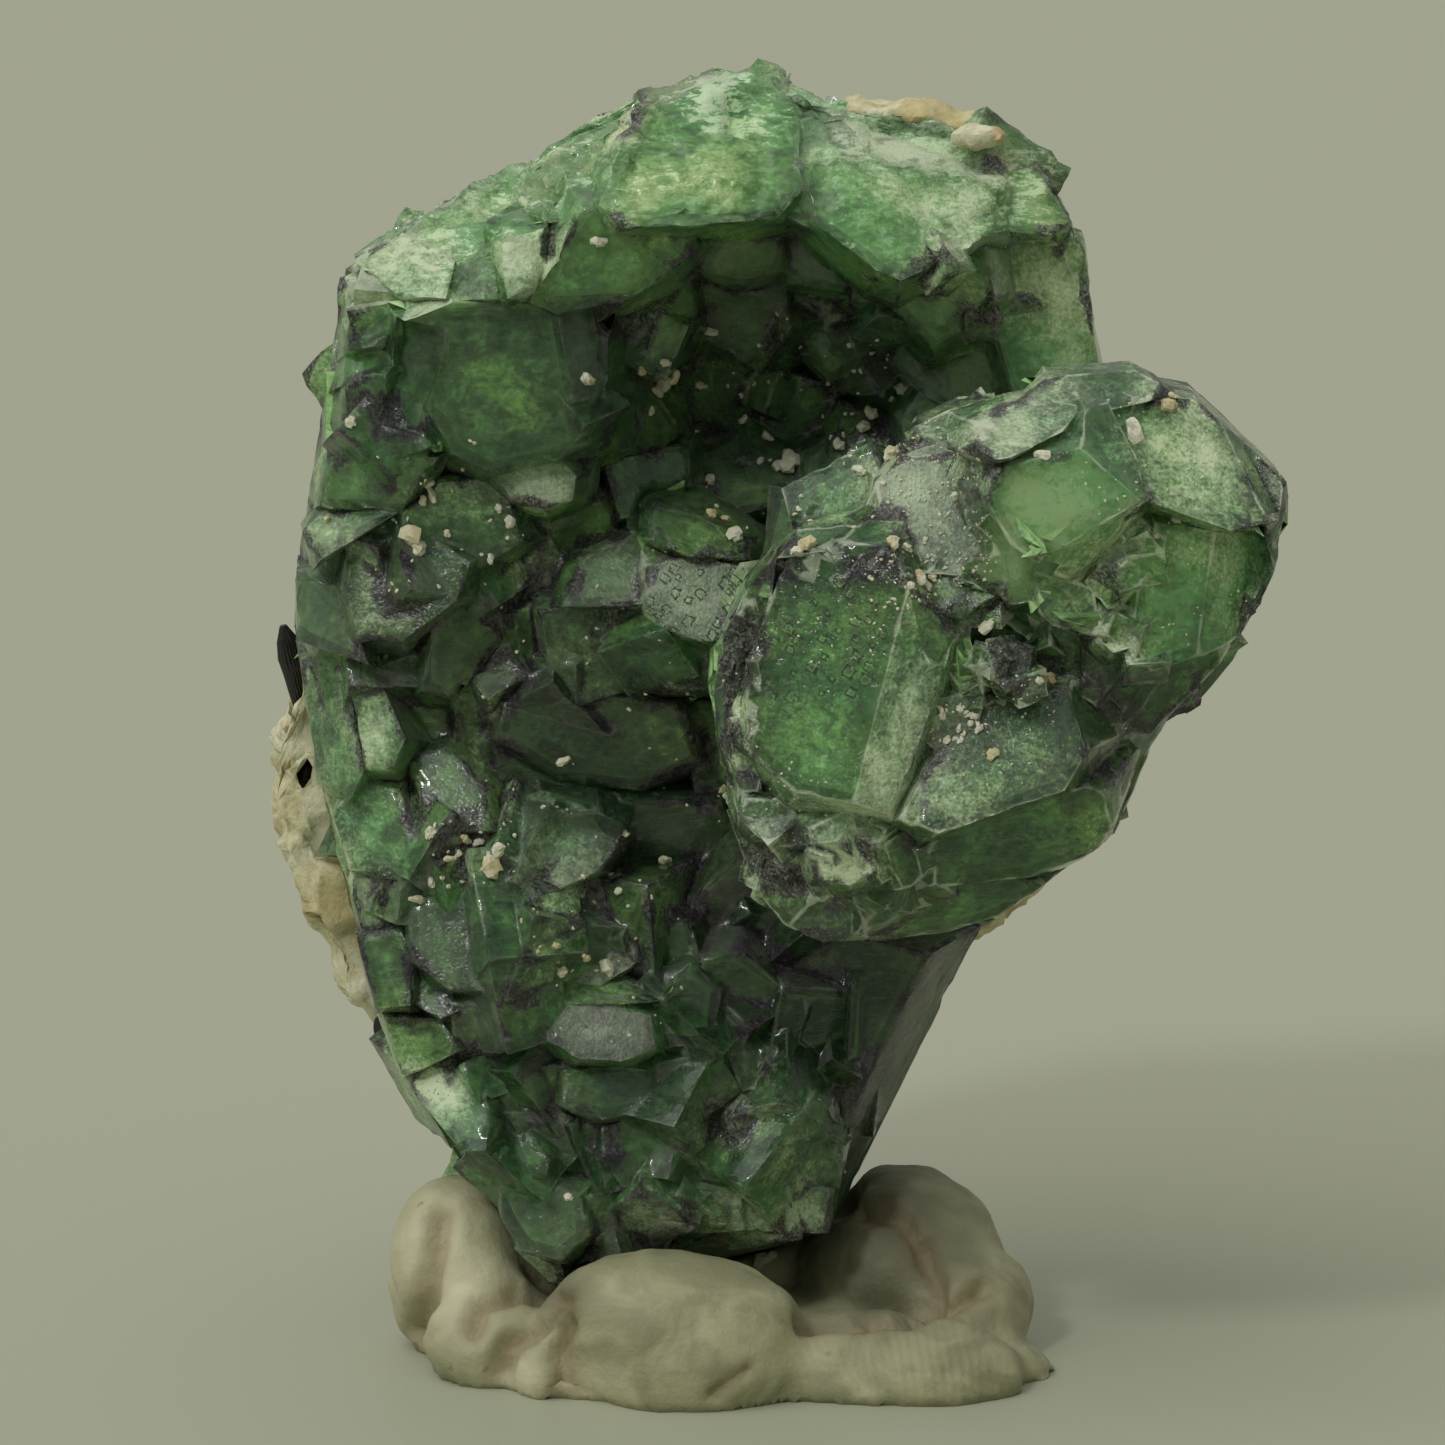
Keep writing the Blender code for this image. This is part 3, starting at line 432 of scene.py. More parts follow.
    def phantom(self) -> bpy.types.Material:
        """Returns the material of the green zones inside."""
        graph = Graph.of_material("fluorite_phantom")
        tone = graph.attribute("tone") * 1.2 + graph.attribute("facet_tone") * 1.5
        shade = tone + (graph.noise(0.5, 4, 0.7, 1.2) - 0.5) * 2.8
        shade = shade + (graph.noise(3.0, 3, 0.7) - 0.5) * 1.6
        streak = graph.noise(1.4, 2, 0.7, 0.4, (1.0, 1.0, 5.0), (0.3, 0.9, 0.0)).rise(0.55, 0.70)
        edge = graph.attribute("ridge").fall(0.0, 0.35)
        colour = graph.mix(streak * 0.35 + edge * 0.35, self.body(graph, shade), self.pale)
        return graph.finish(graph.face(colour, 0.6))


@dataclass(frozen=True)
class FeldsparFinish:
    """Cream feldspar, dull, with rust in its cracks and small dark grains."""

    cream: tuple = (0.58, 0.50, 0.24)
    white: tuple = (0.74, 0.73, 0.50)
    rust: tuple = (0.42, 0.24, 0.07)
    dark: tuple = (0.03, 0.03, 0.025)
    dull: tuple = (0.30, 0.27, 0.18)

    def material(self) -> bpy.types.Material:
        """Returns the crust's material."""
        graph = Graph.of_material("feldspar_crust")
        valley = graph.attribute("valley")
        patch = graph.noise(0.35, 4, 0.6, 0.5)
        grain = graph.noise(3.5, 4, 0.65)
        colour = graph.mix(patch.rise(0.40, 0.62), self.cream, self.white)
        rusty = (graph.noise(0.25, 5, 0.65, 1.0) + (0.5 - valley) * 0.1).rise(0.50, 0.66)
        colour = graph.mix(rusty * 0.75, colour, self.rust)
        colour = graph.mix((grain - 0.35).rise(0.0, 0.4) * 0.35, colour, self.dull)
        colour = graph.mix(graph.dots(0.9).fall(0.10, 0.15) * graph.noise(0.5).rise(0.5, 0.6), colour, self.dark)
        normal = graph.bump(grain * 0.6 + graph.noise(1.0, 5, 0.6), 0.12)
        return graph.finish(graph.face(colour, 0.55 + grain * 0.3, Normal=normal))


@dataclass(frozen=True)
class GrainFinish:
    """Pale grains and chips of feldspar."""

    white: tuple = (0.74, 0.73, 0.56)
    yellow: tuple = (0.62, 0.55, 0.30)
    dull: tuple = (0.30, 0.30, 0.22)

    def material(self) -> bpy.types.Material:
        """Returns the grains' material."""
        graph = Graph.of_material("loose_grains")
        colour = graph.mix(graph.noise(0.5, 2).rise(0.48, 0.66), self.white, self.yellow)
        colour = graph.mix(graph.noise(6.0, 3).rise(0.35, 0.75) * 0.35, colour, self.dull)
        return graph.finish(graph.face(colour, 0.7, Normal=graph.bump(graph.noise(9.0, 3), 0.04)))


@dataclass(frozen=True)
class SchorlFinish:
    """Shiny black schorl, striped lengthways."""

    black: tuple = (0.012, 0.012, 0.011)
    brown: tuple = (0.05, 0.04, 0.028)

    def material(self) -> bpy.types.Material:
        """Returns the prisms' material."""
        graph = Graph.of_material("schorl_black")
        dust = graph.noise(2.5, 4, 0.7).rise(0.55, 0.75)
        colour = graph.mix(dust * 0.6, self.black, self.brown)
        normal = graph.bump(graph.noise(5.0, 4, 0.6), 0.03)
        return graph.finish(graph.face(colour, 0.22 + dust * 0.4, Normal=normal))


@dataclass(frozen=True)
class PuttyFinish:
    """Grey-beige mounting putty: matte, with fingerprints, folds and a few rusty specks."""

    light: tuple = (0.41, 0.40, 0.235)
    grey: tuple = (0.27, 0.265, 0.150)
    brown: tuple = (0.26, 0.18, 0.09)
    # the next two are the colours of light and shade painted on the putty's lobes
    painted_light: tuple = (0.68, 0.65, 0.43)
    painted_shade: tuple = (0.085, 0.085, 0.052)

    def material(self) -> bpy.types.Material:
        """Returns the putty's material."""
        graph = Graph.of_material("mounting_putty")
        smear = graph.noise(0.30, 4, 0.55, 1.2)
        fine = graph.noise(4.0, 4, 0.6)
        colour = graph.mix(smear.rise(0.35, 0.68), self.grey, self.light)
        # painted light on the left lobe and painted shade on the back right lobe, which the crystals above shade
        colour = graph.mix(graph.attribute("painted_light") * 0.75, colour, self.painted_light)
        colour = graph.mix(graph.attribute("painted_shade") * 0.75, colour, self.painted_shade)
        # painted shade: the folds darkened brown by their depth
        colour = graph.mix(graph.attribute("fold") * 0.55, colour, self.brown)
        speck = graph.dots(0.55).fall(0.08, 0.16) * graph.noise(0.9).rise(0.5, 0.6)
        colour = graph.mix(speck * 0.7, colour, self.brown)
        settings = {"wave_type": "RINGS", "rings_direction": "Y"}
        sockets = {"Vector": graph.place, "Scale": 0.80, "Distortion": 2.6, "Detail": 2.0, "Detail Scale": 0.35}
        ridges = graph.value("ShaderNodeTexWave", settings, sockets, "Fac") * graph.attribute("pressed")
        height = ridges * 0.22 + fine * 0.4 + graph.noise(1.2, 3, 0.6) * 0.8
        return graph.finish(graph.face(colour, 0.62, Normal=graph.bump(height, 0.09)))


@dataclass(frozen=True)
class FloorFinish:
    """A plain pale floor."""

    colour: tuple = (0.435, 0.452, 0.330)

    def material(self) -> bpy.types.Material:
        """Returns the floor's material."""
        graph = Graph.of_material("plain_floor")
        return graph.finish(graph.face(self.colour, 0.5))


def deselect() -> None:
    """Leaves object mode with nothing selected."""
    if bpy.context.mode != "OBJECT":
        bpy.ops.object.mode_set(mode="OBJECT")
    bpy.ops.object.select_all(action="DESELECT")


def take_up(piece: bpy.types.Object) -> None:
    """Makes a piece the only one selected, and the active one."""
    deselect()
    piece.select_set(True)
    bpy.context.view_layer.objects.active = piece


def add_object(name: str, data: bpy.types.ID) -> bpy.types.Object:
    """Adds an object with its data, which gets its name, to the scene."""
    data.name = name
    made = bpy.data.objects.new(name, data)
    bpy.context.scene.collection.objects.link(made)
    return made


def add_ball(place: Vector, radius: float, stretch: tuple, fineness: int) -> bpy.types.Object:
    """Models a stretched ball at a place."""
    deselect()
    bpy.ops.mesh.primitive_ico_sphere_add(subdivisions=fineness, radius=radius, location=place)
    made = bpy.context.active_object
    made.scale = stretch
    return made


def add_block(place: Vector, turn: Matrix, side: float, stretch: tuple) -> bpy.types.Object:
    """Models a turned, stretched cube at a place."""
    deselect()
    bpy.ops.mesh.primitive_cube_add(size=side, location=place, rotation=turn.to_euler())
    made = bpy.context.active_object
    made.scale = stretch
    return made


def smooth_below(piece: bpy.types.Object, degrees: float) -> None:
    """Shades a piece smooth where its faces meet at less than an angle."""
    take_up(piece)
    bpy.ops.object.shade_smooth_by_angle(angle=math.radians(degrees))


def copy_of_node(node: str, name: str) -> bpy.types.Object:
    """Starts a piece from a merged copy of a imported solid.

    Args:
        node: The solid's name.
        name: The piece's name.

    Returns:
        The new piece, with flat facets as whole polygons.
    """
    piece = add_object(name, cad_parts[node].data.copy())
    piece.data.materials.clear()
    merge_facets(piece)
    return piece


def merge_facets(piece: bpy.types.Object, doubles_mm: float = 0.002, flat_degrees: float = 2.0) -> None:
    """Merges a mesh's doubled corners, then what lies in one plane."""
    take_up(piece)
    bpy.ops.object.mode_set(mode="EDIT")
    bpy.ops.mesh.select_all(action="SELECT")
    bpy.ops.mesh.remove_doubles(threshold=doubles_mm * MM)
    bpy.ops.mesh.dissolve_limited(angle_limit=math.radians(flat_degrees))
    bpy.ops.object.mode_set(mode="OBJECT")


def join_all(pieces: list[bpy.types.Object], name: str) -> bpy.types.Object:
    """Joins pieces into one.

    Args:
        pieces: The pieces.
        name: The joined piece's name.

    Returns:
        The joined piece.
    """
    take_up(pieces[0])
    for piece in pieces:
        piece.select_set(True)
    bpy.ops.object.join()
    pieces[0].name = name
    bpy.ops.object.transform_apply(location=True, rotation=True, scale=True)
    return pieces[0]


def apply_modifier(piece: bpy.types.Object, kind: str, settings: dict) -> None:
    """Adds a modifier with its settings and applies it."""
    take_up(piece)
    modifier = piece.modifiers.new(kind.lower(), kind)
    for name, setting in settings.items():
        setattr(modifier, name, setting)
    bpy.ops.object.modifier_apply(modifier=modifier.name)


def split_into_triangles() -> None:
    """Splits the edited mesh's faces, in the way that keeps it closed."""
    bpy.ops.mesh.select_all(action="SELECT")
    bpy.ops.mesh.quads_convert_to_tris(quad_method="SHORTEST_DIAGONAL", ngon_method="CLIP")


def combine(piece: bpy.types.Object, other: bpy.types.Object, way: str) -> None:
    """Cuts another piece out of this one or joins it to this one, and removes it."""
    settings = {"operation": way, "object": other, "solver": "EXACT", "use_self": True}
    apply_modifier(piece, "BOOLEAN", settings)
    bpy.data.objects.remove(other)


def subdivide_to(piece: bpy.types.Object, longest_mm: float, back_mm: float = 0.0, rounds: int = 6) -> None:
    """Splits edges in edit mode until none is longer than a limit.

    Args:
        piece: The piece.
        longest_mm: The limit.
        back_mm: The limit at the specimen's back, where another one holds there.
        rounds: How often edges are split at most.
    """
    take_up(piece)
    bpy.context.tool_settings.mesh_select_mode = (False, True, False)
    bpy.ops.object.mode_set(mode="EDIT")
    for _ in range(rounds):
        split_into_triangles()
        builder = bmesh.from_edit_mesh(piece.data)
        long_edges = 0
        for edge in builder.edges:
            at_back = back_mm and min(vertex.co.y for vertex in edge.verts) > BACK
            is_long = edge.calc_length() > (back_mm if at_back else longest_mm) * MM
            edge.select_set(is_long)
            long_edges += is_long
        builder.select_flush_mode()
        bmesh.update_edit_mesh(piece.data)
        if not long_edges:
            break
        bpy.ops.mesh.subdivide(number_cuts=1)
    split_into_triangles()
    bpy.ops.object.mode_set(mode="OBJECT")


def numbers_of(items: bpy.types.bpy_prop_collection, name: str, count: int, kind: type = np.float32) -> np.ndarray:
    """Reads one property, of so many numbers, of every item, one row each."""
    flat = np.empty(len(items) * count, kind)
    items.foreach_get(name, flat)
    return flat.reshape(-1, count)


def places_of(mesh: bpy.types.Mesh) -> np.ndarray:
    """Returns the vertices' places, one a row, in metres."""
    return numbers_of(mesh.vertices, "co", 3).astype(float)


def set_places(mesh: bpy.types.Mesh, places: np.ndarray) -> None:
    """Moves the vertices."""
    mesh.vertices.foreach_set("co", places.astype(np.float32).ravel())
    mesh.update()


def normals_of(mesh: bpy.types.Mesh) -> np.ndarray:
    """Returns the vertices' normals, one a row."""
    return numbers_of(mesh.vertex_normals, "vector", 3).astype(float)


def push_out(mesh: bpy.types.Mesh, by_mm: np.ndarray) -> None:
    """Moves each vertex along its normal, outwards by so many millimetres."""
    set_places(mesh, places_of(mesh) + normals_of(mesh) * (by_mm * MM)[:, None])


def set_attribute(mesh: bpy.types.Mesh, name: str, values: np.ndarray, domain: str = "POINT") -> None:
    """Gives the mesh a number for each vertex or face."""
    made = mesh.attributes.get(name) or mesh.attributes.new(name, "FLOAT", domain)
    made.data.foreach_set("value", values.astype(np.float32))


def step(values: np.ndarray, low: float, high: float) -> np.ndarray:
    """Returns a smooth step, 0 at low and 1 at high."""
    share = np.clip((values - low) / (high - low), 0, 1)
    return share * share * (3 - 2 * share)


def noise_at(places: np.ndarray, size_mm: float, seed: float = 0.0, octaves: int = 3) -> np.ndarray:
    """Gives a smooth random value at each place.

    Args:
        places: One place a row, in metres.
        size_mm: How large its lumps are.
        seed: What shifts it.
        octaves: How many layers it has.

    Returns:
        Values around 0, mostly within 0.5.
    """
    shift = Vector((seed * 7.3, seed * 3.1, seed * 5.7))
    scaled = places / (size_mm * MM)
    return np.array([noise.fractal(Vector(row) + shift, 1.0, 2.0, octaves) for row in scaled]) * 0.5


def shards(places: np.ndarray, size_mm: float, seed: float) -> tuple[np.ndarray, np.ndarray]:
    """Gives the height and the shade of a broken surface, made of tilted flat pieces.

    Args:
        places: One place a row, in metres.
        size_mm: How large its pieces are.
        seed: What shifts it.

    Returns:
        Two values for each place, both around 0.
    """
    shift = Vector((seed * 4.1, seed * 2.3, seed * 6.7))
    heights, shades = [], []
    for row in places / (size_mm * MM):
        place = Vector(row) + shift
        middle = noise.voronoi(place)[1][0]
        tilt = noise.noise_vector(middle * 17.3)
        heights.append((place - middle).dot(tilt) * 1.6 + noise.noise(middle * 9.1) * 0.5)
        shades.append(noise.noise(middle * 23.7))
    return np.array(heights), np.array(shades)


def facing_front(places: np.ndarray, normals: np.ndarray) -> np.ndarray:
    """Returns how much each place faces the front, from 0 to 1."""
    towards = np.array(VIEW.eye()) - places
    towards /= np.linalg.norm(towards, axis=1)[:, None]
    return step((normals * towards).sum(axis=1), -0.25, 0.1)


def nearest_mm(tree: KDTree, places: np.ndarray, cap: float) -> np.ndarray:
    """Returns how far each place is from the tree's nearest point, in millimetres, up to a cap."""
    return np.array([min(tree.find(row)[2] / MM, cap) for row in places])


@dataclass
class EdgeFinder:
    """Finds a faceted mesh's ridges and valleys, as points along them."""

    sharp_degrees: float = 16.0
    spacing_mm: float = 0.12
    cap_mm: float = 4.0

    def trees(self, mesh: bpy.types.Mesh) -> tuple[KDTree, KDTree]:
        """Samples the sharp edges.

        Args:
            mesh: A mesh with whole facets.

        Returns:
            The ridges' points and the valleys' points.
        """
        builder = bmesh.new()
        builder.from_mesh(mesh)
        ridges, valleys = [], []
        for edge in builder.edges:
            if len(edge.link_faces) != 2:
                continue
            angle = edge.calc_face_angle_signed(0.0)
            if abs(angle) < math.radians(self.sharp_degrees):
                continue
            start, end = edge.verts[0].co, edge.verts[1].co
            count = max(1, round((end - start).length / (self.spacing_mm * MM)))
            found = ridges if angle > 0 else valleys
            found.extend(start.lerp(end, index / count) for index in range(count + 1))
        builder.free()
        return self.tree(ridges), self.tree(valleys)

    @staticmethod
    def tree(points: list[Vector]) -> KDTree:
        """Returns a tree of points."""
        made = KDTree(len(points))
        for index, point in enumerate(points):
            made.insert(point, index)
        made.balance()
        return made

    def write(self, piece: bpy.types.Object, trees: tuple[KDTree, KDTree]) -> np.ndarray:
        """Writes each vertex's distance to ridges and valleys onto a mesh, and returns the first."""
        places = places_of(piece.data)
        ridge, valley = (nearest_mm(tree, places, self.cap_mm) for tree in trees)
        set_attribute(piece.data, "ridge", ridge)
        set_attribute(piece.data, "valley", valley)
        return ridge


@dataclass(frozen=True)
class Spot:
    """How the fluorite looks around a point of the front view.

    Tone goes from -1, nearly black, over 0, mid green, to 1, pale. The others go from 0 to 1. Values past these
    ends outweigh the spots around.
    """

    across: float
    down: float
    reach: float
    tone: float
    frost: float = 0.1
    violet: float = 0.25
    broken: float = 0.0
    etched: float = 0.0

    def looks(self) -> tuple[float, ...]:
        """Returns its looks as numbers."""
        return self.tone, self.frost, self.violet, self.broken, self.etched


CLUSTER_SPOTS = tuple(Spot(*row) for row in (
    (830, 605, 44, -0.22, 0.1, 0.1, 0, 1), (835, 680, 44, 0.02, 0.05, 0.05, 0, 0.9),
    (790, 660, 30, -0.05, 0.15, 0.15, 0, 0.8), (800, 745, 34, 0.25, 0.45, 0.15), (855, 750, 34, 0.3, 0.4, 0.1),
    (905, 700, 28, 0.7, 1.2, 0.05), (885, 785, 28, 0.7, 1.2, 0.1), (815, 785, 26, 0.6, 1, 0.2),
    (765, 775, 22, 0.2, 0.4, 0.9), (790, 590, 26, -0.3, 0.3, 0.9), (865, 562, 26, -0.2, 0.3, 0.95),
    (815, 540, 22, 0.3, 0.7, 0.8), (742, 620, 28, 0.25, 0.8, 0.5), (722, 690, 24, 0.1, 0.6, 0.6),
    (735, 760, 28, 0, 0.4, 0.8), (925, 480, 40, 0.1, 0.95, 0.35), (975, 470, 26, 0.15, 0.8, 0.6),
    (940, 548, 34, -0.15, 0.6, 0.2), (925, 610, 30, 0, 0.4, 0.5), (1045, 480, 26, 1, 0, 0.1),
    (1035, 535, 32, 1.15, -0.2, 0), (1085, 495, 34, 1, -0.1, 0.05), (1100, 545, 24, 0.75, 0.55, 0.1),
    (1060, 582, 20, 0.7, 0.7, 0.1), (1035, 425, 40, 0.45, 0.85, 0.25), (990, 440, 16, 0.1, 0.5, 0.9),
    (1060, 450, 14, 0.2, 0.5, 0.9), (1095, 385, 40, 0.1, 0.7, 0.35), (1165, 395, 18, 0.1, 0.5, 1),
    (1150, 440, 34, 0.3, 0.55, 0.2), (1200, 430, 40, 0.1, 0.65, 0.2), (1215, 485, 34, 0.35, 0.8, 0.1),
    (1262, 500, 24, 0, 0.6, 0.8), (1165, 575, 34, 0.75, 0.2, 0.15), (1215, 565, 28, 0.95, 0.5, 0.2),
    (1205, 630, 30, 0.4, 0.4, 0.15), (1245, 600, 24, 0.25, 0.8, 0.6), (1130, 545, 26, 0.5, 0.6, 0.2),
    (1070, 615, 34, 0.4, 0.5, 0.25), (1120, 640, 30, 0.5, 0.5, 0.2), (1110, 705, 44, -0.25, 0.1, 0.35),
    (1190, 690, 30, 0, 0.4, 0.5), (1040, 700, 30, -0.05, 0.75, 0.35), (990, 740, 44, -0.22, 0.8, 0.25),
    (1060, 765, 22, -0.35, 0.2, 0.1), (940, 780, 30, 0.05, 0.75, 0.3), (1010, 835, 60, 0, 0.1, 0.1),
    (940, 860, 30, 0, 0.35, 0.35), (1080, 820, 30, -0.15, 0.1, 0.2), (950, 915, 60, 0, 0.25, 0.2),
    (820, 925, 40, -0.1, 0.45, 0.35), (850, 848, 26, 1, 0.9, 0.3), (775, 820, 28, 0.3, 0.8, 0.6),
    (775, 870, 26, 0.25, 0.7, 0.6), (1005, 645, 15, 0.1, 0.4, 0.95), (955, 640, 24, 0.45, 0.3, 0.15),
    (950, 700, 22, 0.6, 0.6, 0.1), (1045, 655, 24, 0, 0.3, 0.4),
))  # fmt: skip

BOWL_SPOTS = tuple(Spot(*row) for row in (
    (700, 160, 70, 0.78, 0.2, 0.05, 0.9), (720, 105, 46, 1.15, 0.5, 0, 0.9), (570, 190, 50, 0.95, 0.45, 0.05, 0.9),
    (620, 130, 34, 0.95, 0.6, 0, 0.9), (450, 230, 50, 0.9, 0.7, 0, 0.8), (480, 265, 22, 0.1, 0.2, 0.1, 0.4),
    (520, 265, 26, 1.2, 1, 0.1, 0.6), (415, 290, 26, 1.1, 1, 0.1, 0.5), (362, 275, 26, 0.7, 0.8, 0.1, 0.4),
    (335, 380, 24, 0.5, 0.5, 0.3), (352, 405, 20, -0.2, 0.2, 1), (412, 412, 22, 0.2, 0.6, 1),
    (510, 390, 60, -0.42, -0.2, 0.1), (440, 350, 40, -0.6, 0, 0.2), (620, 255, 34, 0.5, 0.3, 0.4),
    (620, 312, 18, -0.2, 0.2, 1), (572, 245, 24, -0.1, 0.2, 1), (870, 170, 40, 1.15, 0.7, 0, 0.8),
    (850, 125, 24, 1.5, 0.9, 0, 0.8), (840, 220, 40, 0.45, 0.3, 0.1, 0.7), (950, 225, 40, 1, 0.9, 0.05, 0.7),
    (940, 145, 30, 1, 0.8, 0, 0.8), (1030, 200, 40, 0.3, 0.4, 0.2, 0.6), (1050, 320, 60, 0.42, 0.3, 0.1, 0.2),
    (1085, 300, 24, 0.8, 0.5, 0, 0.2), (945, 305, 40, 0.3, 0.45, 0.3), (780, 330, 120, -0.08, 0.15, 0.4),
    (700, 420, 80, -0.2, 0.15, 0.5), (870, 400, 80, -0.1, 0.15, 0.5), (700, 480, 60, -0.3, 0.15, 0.4),
    (535, 484, 26, 0.8, 0.9, 0.3), (600, 575, 26, 0.9, 0.9, 0.4), (360, 490, 50, 0.1, 0.4, 0.5),
    (455, 535, 50, -0.25, 0.3, 0.3), (395, 600, 50, -0.25, 0.3, 0.3), (470, 640, 40, -0.35, 0.2, 0.3),
    (570, 540, 36, -0.4, 0.2, 0.5), (625, 560, 32, 0.6, 0.9, 0.2, 0.3), (700, 600, 50, 0.45, 0.8, 0.3, 0, 1),
    (590, 645, 50, -0.35, 0.2, 0.3), (690, 670, 30, 0, 0.6, 0.5), (600, 745, 70, -0.6, 0, 0.3),
    (430, 700, 36, -0.45, 0.1, 0.3), (378, 722, 28, 0.35, 0.7, 0.6), (322, 700, 36, 0.1, 0.3, 0.3),
    (340, 820, 36, 0.45, 0.6, 0.2), (440, 790, 34, -0.15, 0.3, 0.5), (470, 850, 34, 0.3, 0.6, 0.3),
    (565, 840, 44, 0.1, 0.7, 0.4), (660, 840, 60, -0.8, 0, 0.4), (800, 960, 90, -0.85, 0.1, 0.4),
    (470, 940, 44, -0.1, 0.2, 0.3), (380, 965, 30, -0.3, 0.2, 1), (600, 1020, 40, 0.3, 0.6, 0.1),
    (700, 1000, 50, -0.35, 0.3, 0.4), (520, 1050, 40, -0.3, 0.1, 0.3), (440, 1030, 36, -0.3, 0.1, 0.3),
    (430, 1090, 34, 0.6, 0.8, 0.1), (540, 1130, 40, -0.25, 0.2, 0.4), (618, 1155, 22, -0.2, 0.2, 1),
    (540, 1230, 40, 0, 0.4, 0.2), (590, 1260, 24, -0.3, 0.2, 0.2), (690, 1130, 60, -0.15, 0.5, 0.2),
    (620, 1100, 40, -0.25, 0.3, 0.5), (790, 1120, 44, 0.15, 0.7, 0.1), (745, 1212, 34, 0.45, 0.6, 0.1),
    (850, 1080, 60, -0.8, 0.2, 0.3),
))  # fmt: skip


@dataclass
class SpotMap:
    """Spreads the spots' looks over the places that show near them."""

    unseen: Spot = Spot(0, 0, 0, 0.05, 0.3, 0.35, 0.1)
    unseen_weight: float = 0.04
    fading: float = 1.4
    cluster_depth: float = -0.0088

    def looks(self, places: np.ndarray, facing: np.ndarray) -> np.ndarray:
        """Gives the looks at places.

        Args:
            places: One place a row.
            facing: How much each one faces the front, from 0 to 1.

        Returns:
            Tone, frost, violet, broken and etched, one row for each place.
        """
        points = VIEW.points_of(places)
        total = np.full(len(places), self.unseen_weight)
        looks = np.outer(total, self.unseen.looks())
        is_cluster = places[:, 1] < self.cluster_depth
        for spots, chosen in ((CLUSTER_SPOTS, is_cluster), (BOWL_SPOTS, ~is_cluster)):
            for spot in spots:
                away = np.hypot(points[:, 0] - spot.across, points[:, 1] - spot.down) / spot.reach
                weight = np.exp(-self.fading * away**2) * chosen * facing
                total += weight
                looks += np.outer(weight, spot.looks())
        return looks / total[:, None]


@dataclass(frozen=True)
class Growth:
    """Small crystals grown over an oval of the front view."""

    middle: tuple[float, float]
    half: tuple[float, float]
    spacing: float
    sides_mm: tuple[float, float]
    layer: Layer = Layer.BOWL


GROWTHS = (
    Growth((600, 1000), (250, 240), 78, (3.6, 5.4)), Growth((650, 1190), (190, 60), 58, (2.4, 3.6)),
    Growth((600, 1000), (250, 240), 92, (1.2, 2.2)), Growth((430, 570), (150, 120), 80, (3.0, 4.8)),
    Growth((430, 800), (110, 120), 70, (2.4, 4.2)), Growth((600, 650), (120, 120), 78, (2.4, 4.4)),
    Growth((770, 400), (190, 130), 66, (2.0, 3.8)), Growth((365, 430), (60, 140), 50, (1.3, 2.8)),
    Growth((960, 300), (90, 60), 70, (1.2, 2.2)),
    Growth((985, 650), (60, 50), 26, (0.8, 1.7), Layer.CLUSTER),
    Growth((830, 860), (90, 50), 34, (1.2, 2.4), Layer.CLUSTER),
    Growth((738, 660), (20, 110), 15, (0.35, 0.8), Layer.CLUSTER),
    Growth((860, 560), (85, 24), 17, (0.35, 0.9), Layer.CLUSTER),
    Growth((1130, 560), (60, 36), 28, (0.7, 1.6), Layer.CLUSTER),
    Growth((965, 440), (30, 60), 22, (0.5, 1.1), Layer.CLUSTER),
    Growth((1190, 395), (60, 18), 20, (0.4, 0.9), Layer.CLUSTER),
    Growth((1120, 660), (60, 40), 32, (0.8, 1.8), Layer.CLUSTER),
    Growth((930, 880), (70, 30), 32, (0.7, 1.5), Layer.CLUSTER),
)


@dataclass(frozen=True)
class Flank:
    """A slanting side face of a large crystal, from an edge on its front face towards a point beside it."""

    start: tuple[float, float]
    end: tuple[float, float]
    towards: tuple[float, float]
    lean_degrees: float
    width_mm: float


FLANKS = (
    Flank((908, 585), (854, 795), (930, 700), 38, 2.1), Flank((768, 600), (750, 765), (725, 690), 45, 1.0),
    Flank((1000, 528), (1042, 558), (1010, 570), 45, 0.9), Flank((1046, 556), (1128, 508), (1110, 560), 40, 1.4),
    Flank((1222, 425), (1258, 500), (1275, 455), 42, 1.3), Flank((1213, 545), (1196, 655), (1250, 600), 34, 2.2),
    Flank((995, 700), (1070, 690), (1030, 670), 40, 1.2), Flank((445, 345), (430, 420), (410, 380), 40, 1.6),
    Flank((560, 330), (575, 410), (600, 370), 35, 1.6),
)  # fmt: skip

CLEAR_FACES = (
    ((610, 265), 64), ((500, 375), 78), ((697, 600), 48), ((532, 484), 36), ((840, 665), 62), ((1062, 510), 52),
    ((1035, 428), 34), ((1000, 760), 74), ((1195, 590), 50), ((1190, 460), 58), ((940, 510), 44), ((1000, 835), 70),
    ((600, 1025), 46), ((455, 935), 40), ((590, 745), 46),
)  # fmt: skip


